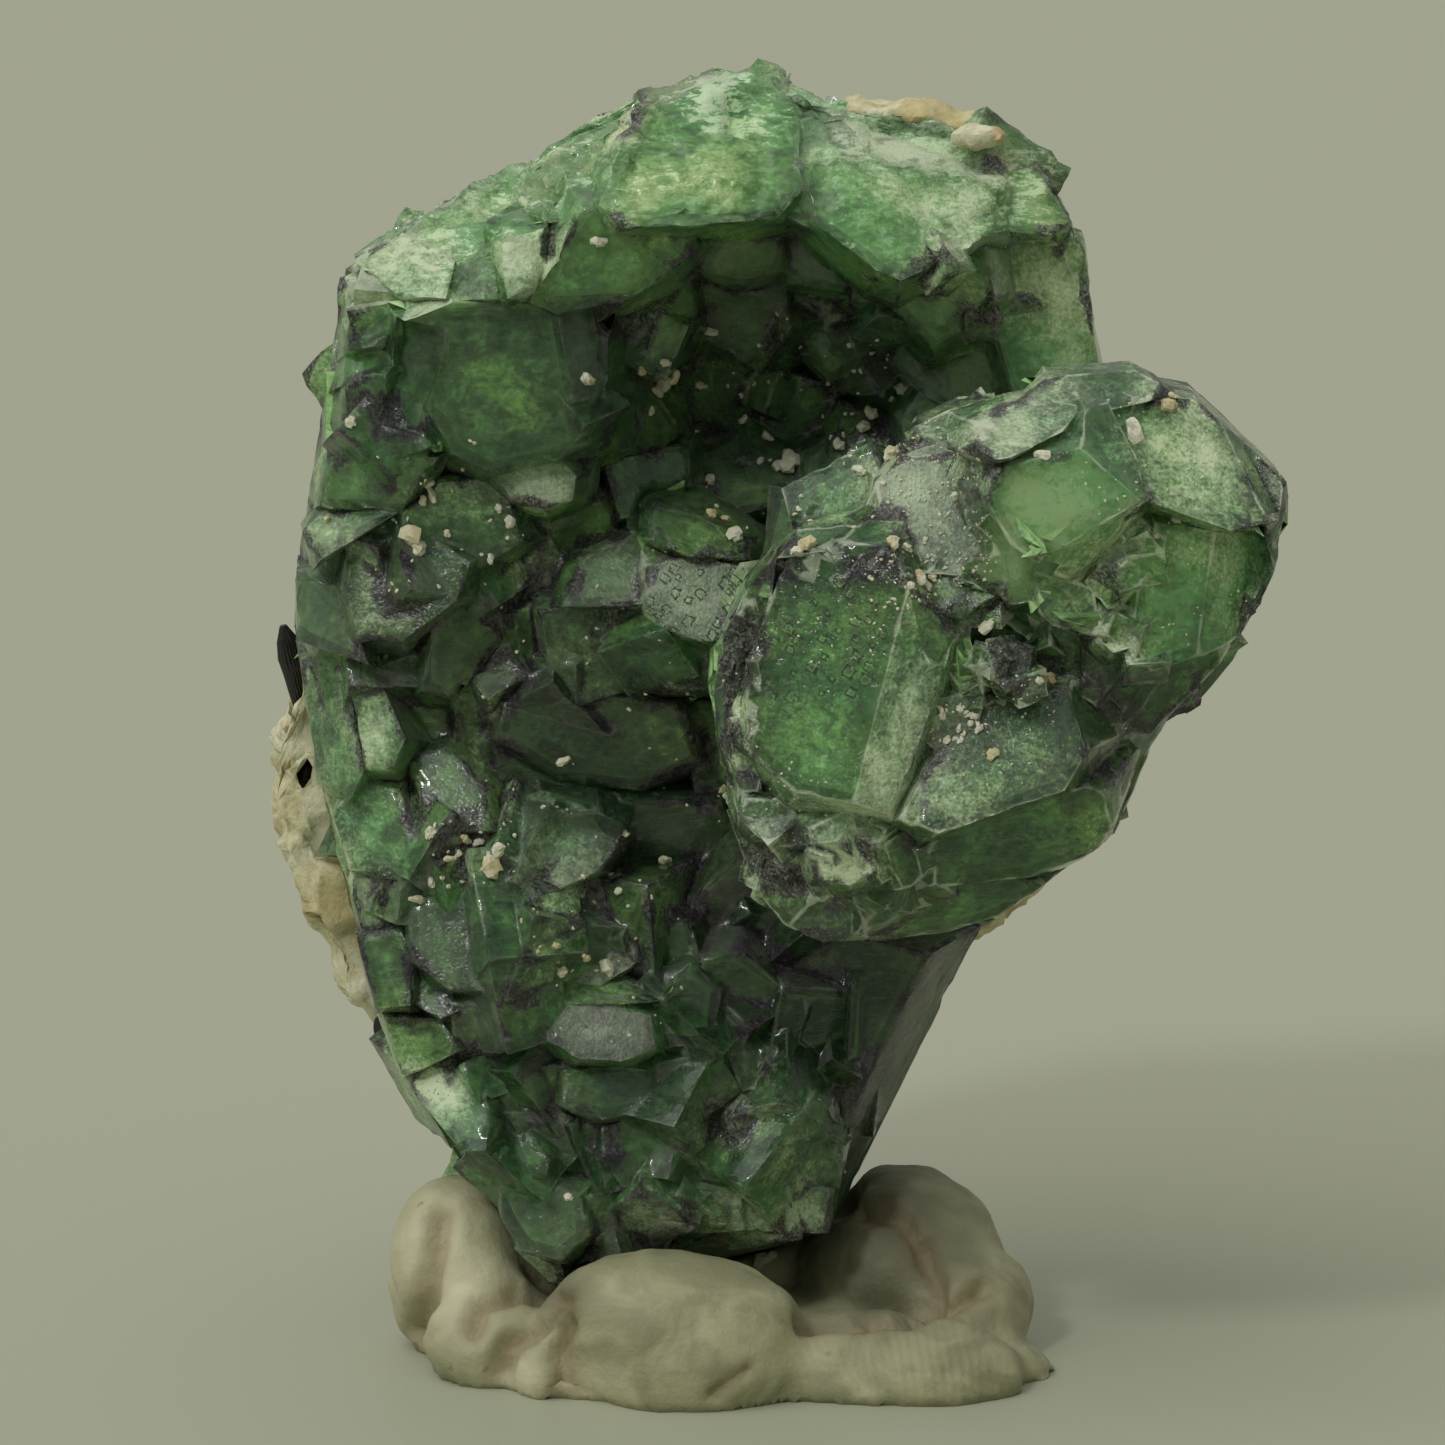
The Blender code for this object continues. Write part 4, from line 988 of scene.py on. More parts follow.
@dataclass
class FluoriteMass:
    """The fluorite: crystals grown together, with smaller ones over them."""

    longest_edge_mm: float = 0.63
    back_edge_mm: float = 1.2
    lean_degrees: tuple[float, float] = (30.0, 58.0)
    sink: tuple[float, float] = (0.36, 0.54)
    stretches: tuple = ((0.75, 1.2), (0.75, 1.2), (0.85, 1.1))
    upright: float = 0.65
    least_fronting: float = 0.58
    outlying_tries: int = 600
    outlying_share: float = 0.225
    outlying_mm: tuple[float, float] = (1.2, 2.8)
    outlying_depth_mm: float = 5.0
    outlying_height_mm: float = 7.0
    least_turned_away: float = 0.3
    flank_block_mm: float = 3.0
    flank_reach_mm: float = 1.4
    smooth_degrees: float = 28.0
    shell_limit: float = 1.6
    seed: int = 12
    wave_mm: float = 0.05
    pit_mm: float = 0.07
    chip_mm: float = 0.14
    shard_mm: tuple[float, float] = (0.90, 0.55)
    wobble_mm: float = 1.2
    facet_spans: tuple = ((-0.26, 0.26), (-0.3, 0.3), (-1.1, 0.85))
    cluster_calm: float = 0.6
    bowl_lift: float = 0.08
    bowl_crispness: float = 0.25
    phantom_depth_mm: float = 0.55
    phantom_edge_mm: float = 0.9
    edges: EdgeFinder = field(default_factory=EdgeFinder)
    finish: FluoriteFinish = field(default_factory=FluoriteFinish)

    def build(self) -> list[bpy.types.Object]:
        """Builds the skin and the green zones inside it."""
        skin = copy_of_node("fluorite", "fluorite_crystals")
        self.cut_flanks(skin)
        phantom = self.phantom(skin)
        self.overgrow(skin)
        self.number_facets(skin.data)
        trees = self.edges.trees(skin.data)
        subdivide_to(skin, self.longest_edge_mm, self.back_edge_mm)
        ridge = self.edges.write(skin, trees)
        looks = self.write_looks(skin.data)
        self.weather(skin.data, ridge, looks)
        skin.data.materials.append(self.finish.skin())
        smooth_below(skin, self.smooth_degrees)
        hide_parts("fluorite")
        return [skin, phantom]

    def cut_flanks(self, skin: bpy.types.Object) -> None:
        """Cuts the slanting side faces of the large crystals."""
        surface = Surface([skin])
        blocks = []
        for flank in FLANKS:
            ends = surface.at(flank.start), surface.at(flank.end)
            if all(ends):
                blocks.append(self.flank_block(flank, ends[0][0], ends[1][0], ends[0][1]))
        combine(skin, join_all(blocks, "flanks"), "DIFFERENCE")

    def flank_block(self, flank: Flank, start: Vector, end: Vector, normal: Vector) -> bpy.types.Object:
        """Models the block that lies on a flank and is cut away.

        Args:
            flank: The side face.
            start: Where its edge starts.
            end: Where its edge ends.
            normal: The front face's normal there.

        Returns:
            The block.
        """
        along = (end - start).normalized()
        normal = (normal - along * normal.dot(along)).normalized()
        aside = along.cross(normal)
        start_point, towards_point = np.array(flank.start), np.array(flank.towards)
        beside = VIEW.points_of(np.array([start + aside * MM]))[0] - start_point
        if beside @ (towards_point - start_point) < 0:
            aside = -aside
        lean = math.radians(flank.lean_degrees)
        outward = normal * math.cos(lean) + aside * math.sin(lean)
        across = aside * math.cos(lean) - normal * math.sin(lean)
        thick, width = self.flank_block_mm * MM, flank.width_mm / math.cos(lean) * MM
        middle = (start + end) / 2 + outward * thick / 2 + across * width / 2
        turn = Matrix((along, across, along.cross(across))).transposed()
        length = (end - start).length + self.flank_reach_mm * MM
        return add_block(middle, turn, 1, (length, width, thick))

    def phantom(self, skin: bpy.types.Object) -> bpy.types.Object:
        """Makes the green zones: the crystals' own faces, further in."""
        phantom = add_object("fluorite_phantoms", skin.data.copy())
        self.number_facets(phantom.data)
        take_up(phantom)
        bpy.ops.object.mode_set(mode="EDIT")
        builder = bmesh.from_edit_mesh(phantom.data)
        inward = {vertex: vertex.normal * min(vertex.calc_shell_factor(), self.shell_limit) for vertex in builder.verts}
        for vertex, way in inward.items():
            vertex.co -= way * self.phantom_depth_mm * MM
        bmesh.update_edit_mesh(phantom.data)
        bpy.ops.object.mode_set(mode="OBJECT")
        trees = self.edges.trees(phantom.data)
        subdivide_to(phantom, self.phantom_edge_mm)
        self.edges.write(phantom, trees)
        self.write_looks(phantom.data)
        phantom.data.materials.clear()
        phantom.data.materials.append(self.finish.phantom())
        return phantom

    def overgrow(self, skin: bpy.types.Object) -> None:
        """Grows the small crystals over the large ones."""
        random_of = random.Random(self.seed)
        surface = Surface([skin])
        cubes = []
        for growth in GROWTHS:
            cubes.extend(self.grown(growth, surface, random_of))
        cubes.extend(self.outlying(skin.data.polygons, random_of))
        LOG.info("%d small crystals", len(cubes))
        combine(skin, join_all(cubes, "druse"), "UNION")

    def grown(self, growth: Growth, surface: "Surface", random_of: random.Random) -> list[bpy.types.Object]:
        """Grows one patch's crystals, each within the specimen's outline.

        Args:
            growth: The patch.
            surface: What they grow on.
            random_of: What varies them.

        Returns:
            The crystals.
        """
        cubes = []
        for point in self.strewn(growth, random_of):
            hit = surface.at(point)
            if not hit:
                continue
            (place, normal), sight = hit, VIEW.sight(point).normalized()
            layer = Layer.CLUSTER if place.y < SpotMap.cluster_depth else Layer.BOWL
            if layer is not growth.layer or -normal.dot(sight) <= self.least_fronting:
                continue
            outward = (normal * self.upright - sight * (1 - self.upright)).normalized()
            made = self.cube(place, outward, random_of.uniform(*growth.sides_mm), random_of)
            if self.within_outline(made, surface):
                cubes.append(made)
            else:
                bpy.data.objects.remove(made)
        return cubes

    def outlying(self, facets: bpy.types.bpy_prop_collection, random_of: random.Random) -> list[bpy.types.Object]:
        """Grows crystals on the sides and the top, where the front view doesn't show them.

        Args:
            facets: The large crystals' facets.
            random_of: What chooses and varies them.

        Returns:
            The crystals.
        """
        cubes = []
        for facet in random_of.choices(facets, [facet.area for facet in facets], k=self.outlying_tries):
            aside = facet.normal.y > -0.1 and facet.center.y < self.outlying_depth_mm * MM
            above = facet.center.z > self.outlying_height_mm * MM
            fronting = facet.normal.dot((VIEW.eye() - facet.center).normalized())
            hidden = fronting < -self.least_turned_away
            if aside and above and hidden and random_of.random() < self.outlying_share:
                cubes.append(self.cube(facet.center, facet.normal, random_of.uniform(*self.outlying_mm), random_of))
        return cubes

    @staticmethod
    def within_outline(made: bpy.types.Object, surface: "Surface") -> bool:
        """Returns whether all of a crystal's corners show in front of the specimen."""
        bpy.context.view_layer.update()
        corners = np.array([made.matrix_world @ vertex.co for vertex in made.data.vertices])
        return all(surface.at(tuple(point)) for point in VIEW.points_of(corners))

    @staticmethod
    def strewn(growth: Growth, random_of: random.Random) -> list[tuple[float, float]]:
        """Gives a growth's points, evenly strewn, outside the clear faces."""
        points = []
        rows, columns = (math.ceil(half / growth.spacing) for half in (growth.half[1], growth.half[0]))
        for row in range(-rows, rows + 1):
            for column in range(-columns, columns + 1):
                across = (column + 0.5 * (row % 2) + random_of.uniform(-0.4, 0.4)) * growth.spacing
                down = (row + random_of.uniform(-0.4, 0.4)) * growth.spacing
                inside = (across / growth.half[0]) ** 2 + (down / growth.half[1]) ** 2 < 1
                point = (growth.middle[0] + across, growth.middle[1] + down)
                free = all(math.dist(point, middle) > reach for middle, reach in CLEAR_FACES)
                if inside and free:
                    points.append(point)
        return points

    def cube(self, place: Vector, outward: Vector, side_mm: float, random_of: random.Random) -> bpy.types.Object:
        """Models one small crystal that leans out of the surface.

        Args:
            place: Where it sits.
            outward: Which way it grows.
            side_mm: Its side.
            random_of: What varies it.

        Returns:
            The crystal.
        """
        lean, side = math.radians(random_of.uniform(*self.lean_degrees)), random_of.uniform(0, ALL_ROUND)
        lean_turn = Matrix.Rotation(lean, 3, Vector((math.cos(side), math.sin(side), 0)))
        turn = outward.to_track_quat("Z", "Y").to_matrix() @ lean_turn
        turn = turn @ Matrix.Rotation(random_of.uniform(0, ALL_ROUND), 3, "Z")
        middle = place - outward * side_mm * MM * random_of.uniform(*self.sink)
        stretch = tuple(random_of.uniform(*span) for span in self.stretches)
        return add_block(middle, turn, side_mm * MM, stretch)

    @staticmethod
    def number_facets(mesh: bpy.types.Mesh) -> None:
        """Gives each facet its number, which its parts keep."""
        made = mesh.attributes.new("facet", "INT", "FACE")
        made.data.foreach_set("value", np.arange(len(mesh.polygons), dtype=np.int32))

    def write_looks(self, mesh: bpy.types.Mesh) -> np.ndarray:
        """Writes the looks onto the mesh.

        Args:
            mesh: The fine mesh, whose faces know their facets.

        Returns:
            The looks of each vertex.
        """
        places = places_of(mesh)
        wobble = np.stack([noise_at(places, 2.5, seed, 2) for seed in (1, 2, 3)], axis=1) * self.wobble_mm * MM
        looks = SpotMap().looks(places + wobble, facing_front(places, normals_of(mesh)))
        looks[:, 0] += np.where(places[:, 1] > SpotMap.cluster_depth, self.bowl_lift, 0.0)
        for index, name in enumerate(("tone", "frost", "violet", "broken", "etched")):
            set_attribute(mesh, name, looks[:, index] * (0.5 if name == "tone" else 1.0))
        facet = numbers_of(mesh.attributes["facet"].data, "value", 1, np.int32).ravel()
        corners = numbers_of(mesh.loops, "vertex_index", 1, np.int32).reshape(-1, 3)
        counts = np.maximum(np.bincount(facet), 1)
        in_cluster = (places[:, 1] < SpotMap.cluster_depth).astype(float)
        tone, frost, clustered = (
            np.bincount(facet, values[corners].mean(axis=1)) / counts
            for values in (looks[:, 0], looks[:, 1], in_cluster)
        )
        calm = 1 - self.cluster_calm * clustered
        random_of = np.random.default_rng(self.seed)
        tone_play, frost_play, haze = (random_of.uniform(*span, len(counts)) for span in self.facet_spans)
        set_attribute(mesh, "facet_tone", (tone * 0.5 + tone_play * calm)[facet], "FACE")
        set_attribute(mesh, "facet_frost", (frost + frost_play * calm)[facet], "FACE")
        set_attribute(mesh, "facet_haze", (np.maximum(haze, 0.0) * calm)[facet], "FACE")
        set_attribute(mesh, "cloud", noise_at(places, 3.6, 31, 3))
        set_attribute(mesh, "crisp", np.maximum(in_cluster, self.bowl_crispness))
        set_attribute(mesh, "width", noise_at(places, 1.4, 32, 3) * 0.6 + 0.02)
        mesh.attributes.remove(mesh.attributes["facet"])
        return looks

    def weather(self, mesh: bpy.types.Mesh, ridge: np.ndarray, looks: np.ndarray) -> None:
        """Roughens the faces, chips the ridges and breaks the rim into steps."""
        places, frost, broken = places_of(mesh), looks[:, 1], looks[:, 3]
        waves = noise_at(places, 1.6, 4) * self.wave_mm
        pits = noise_at(places, 0.6, 5, 2) * self.pit_mm * frost
        chips = step(noise_at(places, 0.9, 6, 2), 0.0, 0.3) * step(0.45 - ridge, 0.0, 0.4) * self.chip_mm
        large, small = shards(places, 3.4, 7), shards(places, 1.5, 8)
        shattered = (large[0] * self.shard_mm[0] + small[0] * self.shard_mm[1]) * broken
        set_attribute(mesh, "shard", large[1] * 0.5 + small[1] * 0.5)
        push_out(mesh, waves + pits + shattered - chips)


@dataclass
class FeldsparCrust:
    """The cream crust on the back."""

    longest_edge_mm: float = 0.55
    lump_mm: float = 0.46
    knobs: tuple = (
        ((872, 112), 0.7), ((898, 113), 0.9), ((928, 116), 1.0), ((955, 122), 0.9), ((978, 135), 0.8),
    )  # fmt: skip
    knob_stretch: tuple = (1.5, 1.0, 0.62)
    knob_voxel_mm: float = 0.2
    smooth_degrees: float = 32.0
    edges: EdgeFinder = field(default_factory=EdgeFinder)
    finish: FeldsparFinish = field(default_factory=FeldsparFinish)

    def build(self) -> bpy.types.Object:
        """Builds the crust."""
        crust = copy_of_node("feldspar_crust", "feldspar_matrix")
        trees = self.edges.trees(crust.data)
        subdivide_to(crust, self.longest_edge_mm)
        self.edges.write(crust, trees)
        places = places_of(crust.data)
        lumps = (noise_at(places, 1.6, 9, 4) + noise_at(places, 0.5, 12, 2) * 0.3) * self.lump_mm
        broken = shards(places, 3.0, 10)[0] * 0.5 + shards(places, 1.4, 11)[0] * 0.3
        push_out(crust.data, lumps + broken)
        crust.data.materials.append(self.finish.material())
        smooth_below(crust, self.smooth_degrees)
        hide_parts("feldspar_crust")
        return crust

    def rim_knobs(self, surface: "Surface", material: bpy.types.Material) -> bpy.types.Object:
        """Builds the cream knobs that reach over the rim.

        Args:
            surface: The fluorite, on which they sit.
            material: The crust's material.

        Returns:
            One piece.
        """
        hits = [(surface.at(point), radius_mm) for point, radius_mm in self.knobs]
        balls = [add_ball(hit[0], radius_mm * MM, self.knob_stretch, 3) for hit, radius_mm in hits if hit]
        knobs = join_all(balls, "feldspar_knobs")
        apply_modifier(knobs, "REMESH", {"mode": "VOXEL", "voxel_size": self.knob_voxel_mm * MM})
        places = places_of(knobs.data)
        push_out(knobs.data, noise_at(places, 1.2, 13, 3) * 0.5 + shards(places, 1.6, 14)[0] * 0.25)
        set_attribute(knobs.data, "valley", np.full(len(places), 0.5))
        knobs.data.materials.append(material)
        smooth_below(knobs, self.smooth_degrees)
        return knobs


@dataclass
class SchorlPrisms:
    """The black prisms, each with ribs along it."""

    ribs: int = 27
    fill: float = 0.98
    rings: int = 5
    tapered: tuple = ("schorl_left_edge",)
    tapered_share: float = 0.74
    smooth_degrees: float = 35.0
    finish: SchorlFinish = field(default_factory=SchorlFinish)

    def build(self) -> list[bpy.types.Object]:
        """Builds one prism for each solid."""
        material = self.finish.material()
        prisms = []
        for index, node in enumerate(sorted(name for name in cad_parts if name.startswith("schorl_"))):
            prism = self.prism(node, index)
            prism.data.materials.append(material)
            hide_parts(node)
            prisms.append(prism)
        return prisms

    def prism(self, node: str, index: int) -> bpy.types.Object:
        """Makes a ribbed prism in a solid's place.

        Args:
            node: The solid's name.
            index: Its number, which varies the ribs.

        Returns:
            The prism.
        """
        places = places_of(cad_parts[node].data)
        middle = places.mean(axis=0)
        spread = np.linalg.svd(places - middle, full_matrices=False)[2]
        axis = spread[0] * np.sign(spread[0][2] or 1.0)
        along = (places - middle) @ axis
        radius = np.linalg.norm((places - middle) - np.outer(along, axis), axis=1).max()
        length = along.max() - along.min()
        if node in self.tapered:
            middle = middle - axis * length * (1 - self.tapered_share) / 2
            length *= self.tapered_share
        deselect()
        bpy.ops.mesh.primitive_cylinder_add(vertices=self.ribs * 2, radius=radius, depth=length * self.fill)
        piece = bpy.context.active_object
        piece.name = piece.data.name = node.replace("schorl", "schorl_prism")
        bpy.ops.object.mode_set(mode="EDIT")
        bpy.ops.mesh.select_all(action="SELECT")
        bpy.ops.mesh.subdivide(number_cuts=self.rings)
        bpy.ops.object.mode_set(mode="OBJECT")
        local = places_of(piece.data)
        turn, rise = np.arctan2(local[:, 1], local[:, 0]), local[:, 2] / length
        rounded = 0.90 + 0.08 * np.cos(3 * turn + index)
        ribbed = rounded - 0.05 * np.abs(np.sin(turn * self.ribs / 2 + index)) ** 0.6
        if node in self.tapered:
            waist = 1 - 0.16 * np.cos(rise * 9.0 + 0.6)
            ribbed = ribbed * (0.10 + 0.82 * np.maximum(np.cos(rise * 3.0), 0.0) ** 0.8) * waist
        local[:, :2] *= ribbed[:, None]
        local[:, 2] *= 1 - 0.04 * noise_at(local, radius / MM, index, 2)
        turned = np.array(Vector((0, 0, 1)).rotation_difference(Vector(axis)).to_matrix())
        set_places(piece.data, local @ turned.T + middle)
        smooth_below(piece, self.smooth_degrees)
        return piece


@dataclass(frozen=True)
class Crease:
    """A fold in the putty along points of the front view."""

    points: tuple
    width_mm: float
    depth_mm: float


@dataclass
class Putty:
    """The pressed lump of mounting putty."""

    voxel_mm: float = 0.32
    smoothing: tuple[float, int] = (0.6, 14)
    underside_mm: float = 0.25
    crease_steps: int = 14
    crease_cap_mm: float = 9.0
    creases: tuple = (
        Crease(((438, 1215), (432, 1262), (420, 1310), (405, 1345)), 0.8, 0.9),
        Crease(((470, 1330), (482, 1300), (520, 1290), (560, 1300)), 0.7, 0.8),
        Crease(((500, 1375), (508, 1345), (545, 1322)), 0.6, 0.7),
        Crease(((560, 1400), (556, 1350), (565, 1325)), 0.6, 0.8),
        Crease(((575, 1392), (562, 1352)), 0.5, 0.5),
        Crease(((712, 1394), (735, 1378), (752, 1366)), 0.35, 0.4),
        Crease(((842, 1205), (900, 1215), (925, 1250), (935, 1300)), 0.7, 0.8),
        Crease(((800, 1322), (860, 1322), (930, 1312), (985, 1285)), 0.6, 0.9),
        Crease(((870, 1312), (900, 1318), (930, 1305)), 0.9, 1.0),
    )
    pressed_spots: tuple = (((925, 1350), 70), ((800, 1350), 40))
    # where light is painted on the putty, mostly on its left lobe, and where shade is, mostly on its back right lobe
    painted_light_spots: tuple = (((440, 1265), 75), ((585, 1395), 30), ((520, 1385), 30))
    painted_shade_spots: tuple = (((900, 1215), 80), ((870, 1290), 50), ((560, 1300), 26))
    lumps: tuple = (((-8.4, 1.2, 4.5), (3.1, 3.0, 3.1)), ((-11.2, -0.4, 4.2), (3.1, 3.6, 3.6)),
                    ((-2.2, -6.6, 3.0), (5.6, 3.4, 3.0)))  # fmt: skip
    finish: PuttyFinish = field(default_factory=PuttyFinish)

    def build(self) -> bpy.types.Object:
        """Builds the lump."""
        putty = copy_of_node("mounting_putty", "putty_lump")
        for middle, half in self.lumps:
            lump = add_ball(Vector(middle) * MM, 1.0, Vector(half) * MM, 4)
            putty = join_all([putty, lump], "putty_lump")
        apply_modifier(putty, "REMESH", {"mode": "VOXEL", "voxel_size": self.voxel_mm * MM})
        factor, iterations = self.smoothing
        apply_modifier(putty, "SMOOTH", {"factor": factor, "iterations": iterations})
        places = places_of(putty.data)
        push_out(putty.data, noise_at(places, 5.0, 21, 3) * 0.55 + noise_at(places, 0.9, 22, 2) * 0.13)
        self.fold(putty)
        self.write_touched(putty.data)
        self.flatten(putty.data)
        putty.data.materials.append(self.finish.material())
        take_up(putty)
        bpy.ops.object.shade_smooth()
        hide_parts("mounting_putty")
        return putty

    def fold(self, putty: bpy.types.Object) -> None:
        """Presses the creases in and writes how deep in one each vertex lies, from 0 to 1."""
        surface = Surface([putty])
        places = places_of(putty.data)
        deep, pushed = np.zeros(len(places)), np.zeros(len(places))
        for crease in self.creases:
            points = [
                start * (1 - share) + end * share
                for start, end in zip(map(np.array, crease.points), map(np.array, crease.points[1:]))
                for share in np.linspace(0, 1, self.crease_steps)
            ]
            hits = [hit[0] for hit in map(surface.at, points) if hit]
            if hits:
                away = nearest_mm(EdgeFinder.tree(hits), places, self.crease_cap_mm) / crease.width_mm
                groove = np.exp(-(away**2) * 1.6)
                deep = np.maximum(deep, groove)
                pushed = np.maximum(pushed, groove * crease.depth_mm)
        set_attribute(putty.data, "fold", deep)
        push_out(putty.data, -pushed)

    def write_touched(self, mesh: bpy.types.Mesh) -> None:
        """Writes where fingers have pressed the putty, and where light and shade are painted on it."""
        points = VIEW.points_of(places_of(mesh))
        named = (("pressed", self.pressed_spots), ("painted_light", self.painted_light_spots), ("painted_shade", self.painted_shade_spots))
        for name, spots in named:
            share = np.zeros(len(points))
            for point, reach in spots:
                away = np.hypot(points[:, 0] - point[0], points[:, 1] - point[1]) / reach
                share = np.maximum(share, np.exp(-(away**2)))
            set_attribute(mesh, name, share)

    def flatten(self, mesh: bpy.types.Mesh) -> None:
        """Lays the underside flat on the floor."""
        places = places_of(mesh)
        places[:, 2] = np.where(places[:, 2] < self.underside_mm * MM, 0.0, places[:, 2])
        set_places(mesh, places)


class Surface:
    """What shows of some pieces from the front."""

    def __init__(self, pieces: list[bpy.types.Object]) -> None:
        """Reads the pieces' meshes."""
        depsgraph = bpy.context.evaluated_depsgraph_get()
        self.trees = [BVHTree.FromObject(piece, depsgraph) for piece in pieces]

    def at(self, point: tuple[float, float]) -> tuple[Vector, Vector] | None:
        """Gives the place and the normal that show at a point of the front view, or None."""
        ray = VIEW.sight(point).normalized()
        hits = [tree.ray_cast(VIEW.eye(), ray) for tree in self.trees]
        hits = [hit for hit in hits if hit[0] is not None]
        if not hits:
            return None
        return min(hits, key=lambda hit: hit[3])[:2]


@dataclass(frozen=True)
class Dusting:
    """Tiny specks strewn around a point of the front view."""

    point: tuple[float, float]
    reach: float
    count: int
    size_mm: float


@dataclass
class Grains:
    """Pale grains that lie on the crystals, and dust around them."""

    seed: int = 31
    point_mm: float = 0.0424
    shape_count: int = 5
    dust_sizes: tuple[float, float] = (0.6, 1.5)
    stretches: tuple = ((0.85, 1.2), (0.7, 1.0), (0.7, 1.1))
    lift: float = 0.18
    grains: tuple = (
        (660, 380, 20), (672, 376, 14), (655, 392, 12), (640, 370, 10), (665, 362, 9), (650, 410, 9),
        (700, 385, 10), (710, 330, 12), (710, 480, 12), (745, 420, 13), (765, 438, 13), (787, 462, 24),
        (776, 466, 14), (760, 460, 9), (838, 445, 14), (862, 425, 16), (870, 413, 14), (903, 390, 18),
        (860, 470, 12), (893, 455, 16), (710, 515, 12), (735, 535, 16), (725, 520, 10), (585, 378, 16),
        (598, 240, 14), (350, 422, 12), (412, 535, 22), (418, 548, 16), (432, 495, 12), (422, 500, 9),
        (428, 483, 9), (510, 520, 12), (498, 508, 9), (447, 533, 8), (490, 558, 8), (298, 523, 10),
        (327, 520, 9), (432, 832, 13), (465, 838, 12), (478, 843, 10), (497, 850, 16), (490, 866, 22),
        (450, 860, 10), (458, 856, 9), (432, 880, 10), (415, 898, 13), (563, 760, 12), (560, 970, 12),
        (585, 955, 10), (606, 966, 18), (555, 945, 9), (623, 832, 10), (665, 862, 12), (618, 890, 8),
        (1132, 432, 20), (1166, 405, 17), (1172, 398, 12), (1042, 456, 12), (985, 627, 15), (955, 495, 9),
        (808, 546, 20), (796, 552, 12), (893, 545, 16), (905, 548, 10), (1048, 681, 16), (1038, 679, 10),
        (721, 789, 9), (1155, 535, 8), (1174, 520, 9), (992, 755, 12), (918, 578, 12), (926, 586, 9),
        (932, 577, 9), (910, 585, 8), (568, 1197, 9), (760, 1262, 16), (770, 1258, 12),
    )  # fmt: skip
    dust: tuple = (
        Dusting((930, 470), 50, 90, 0.10), Dusting((960, 548), 40, 80, 0.10), Dusting((1000, 730), 60, 60, 0.09),
        Dusting((1150, 470), 70, 50, 0.09), Dusting((955, 725), 26, 26, 0.22), Dusting((790, 800), 40, 30, 0.10),
        Dusting((830, 600), 70, 40, 0.08), Dusting((470, 850), 50, 26, 0.16), Dusting((800, 430), 120, 50, 0.16),
        Dusting((440, 520), 90, 30, 0.14), Dusting((600, 960), 90, 30, 0.15), Dusting((620, 700), 160, 40, 0.13),
        Dusting((1200, 600), 60, 30, 0.08), Dusting((900, 580), 40, 40, 0.12),
    )  # fmt: skip
    finish: GrainFinish = field(default_factory=GrainFinish)

    def build(self, surface: Surface) -> bpy.types.Object:
        """Strews the grains.

        Args:
            surface: What they lie on.

        Returns:
            One joined piece.
        """
        random_of = random.Random(self.seed)
        shapes = [self.shape(random_of) for _ in range(self.shape_count)]
        wanted = [((u, v), size * self.point_mm) for u, v, size in self.grains]
        for dusting in self.dust:
            for _ in range(dusting.count):
                turn, away = random_of.uniform(0, 2 * math.pi), dusting.reach * random_of.random() ** 0.5
                point = (dusting.point[0] + math.cos(turn) * away, dusting.point[1] + math.sin(turn) * away)
                wanted.append((point, dusting.size_mm * random_of.uniform(*self.dust_sizes)))
        vertices, faces = [], []
        for point, size_mm in wanted:
            hit = surface.at(point)
            if hit:
                shape = shapes[random_of.randrange(self.shape_count)]
                start = len(vertices)
                vertices.extend(self.placed(shape, hit, size_mm, random_of))
                faces.extend(tuple(start + index for index in face.vertices) for face in shape.polygons)
        for shape in shapes:
            bpy.data.meshes.remove(shape)
        mesh = bpy.data.meshes.new("pale_grains")
        mesh.from_pydata(vertices, [], faces)
        mesh.materials.append(self.finish.material())
        return add_object("pale_grains", mesh)

    @staticmethod
    def shape(random_of: random.Random) -> bpy.types.Mesh:
        """Models one angular grain, a unit across."""
        made = add_ball(Vector((0, 0, 0)), 0.5, (1, 1, 1), 2)
        mesh = made.data
        bpy.data.objects.remove(made)
        seed = random_of.uniform(0, 90)
        places = places_of(mesh)
        lumps = 1 + noise_at(places * MM, 0.55, seed, 2) * 1.1
        places *= (lumps * 1.05)[:, None]
        places = np.round(places * 3.4) / 3.4 * 0.7 + places * 0.3
        set_places(mesh, places * (1.0, 0.85, 0.7))
        return mesh

    def placed(self, shape: bpy.types.Mesh, hit: tuple, size_mm: float, random_of: random.Random) -> list[tuple]:
        """Gives the vertices of a turned copy of a grain's shape where a ray has met the surface.

        Args:
            shape: The grain's shape, a unit across.
            hit: The place and the normal there.
            size_mm: The grain's size.
            random_of: What turns and stretches it.

        Returns:
            The vertices' places.
        """
        place, normal = hit
        spin = Matrix.Rotation(random_of.uniform(0, 2 * math.pi), 3, "Z")
        turn = normal.to_track_quat("Z", "Y").to_matrix() @ spin
        stretch = Vector([random_of.uniform(*span) for span in self.stretches])
        middle = place + normal * size_mm * MM * self.lift
        return [tuple(middle + turn @ (vertex.co * stretch) * size_mm * MM) for vertex in shape.vertices]


@dataclass(frozen=True)
class Sun:
    """Light from a disc of the sky, given by the direction of its middle and its width."""

    name: str
    source: tuple[float, float, float]
    width_degrees: float
    strength: float


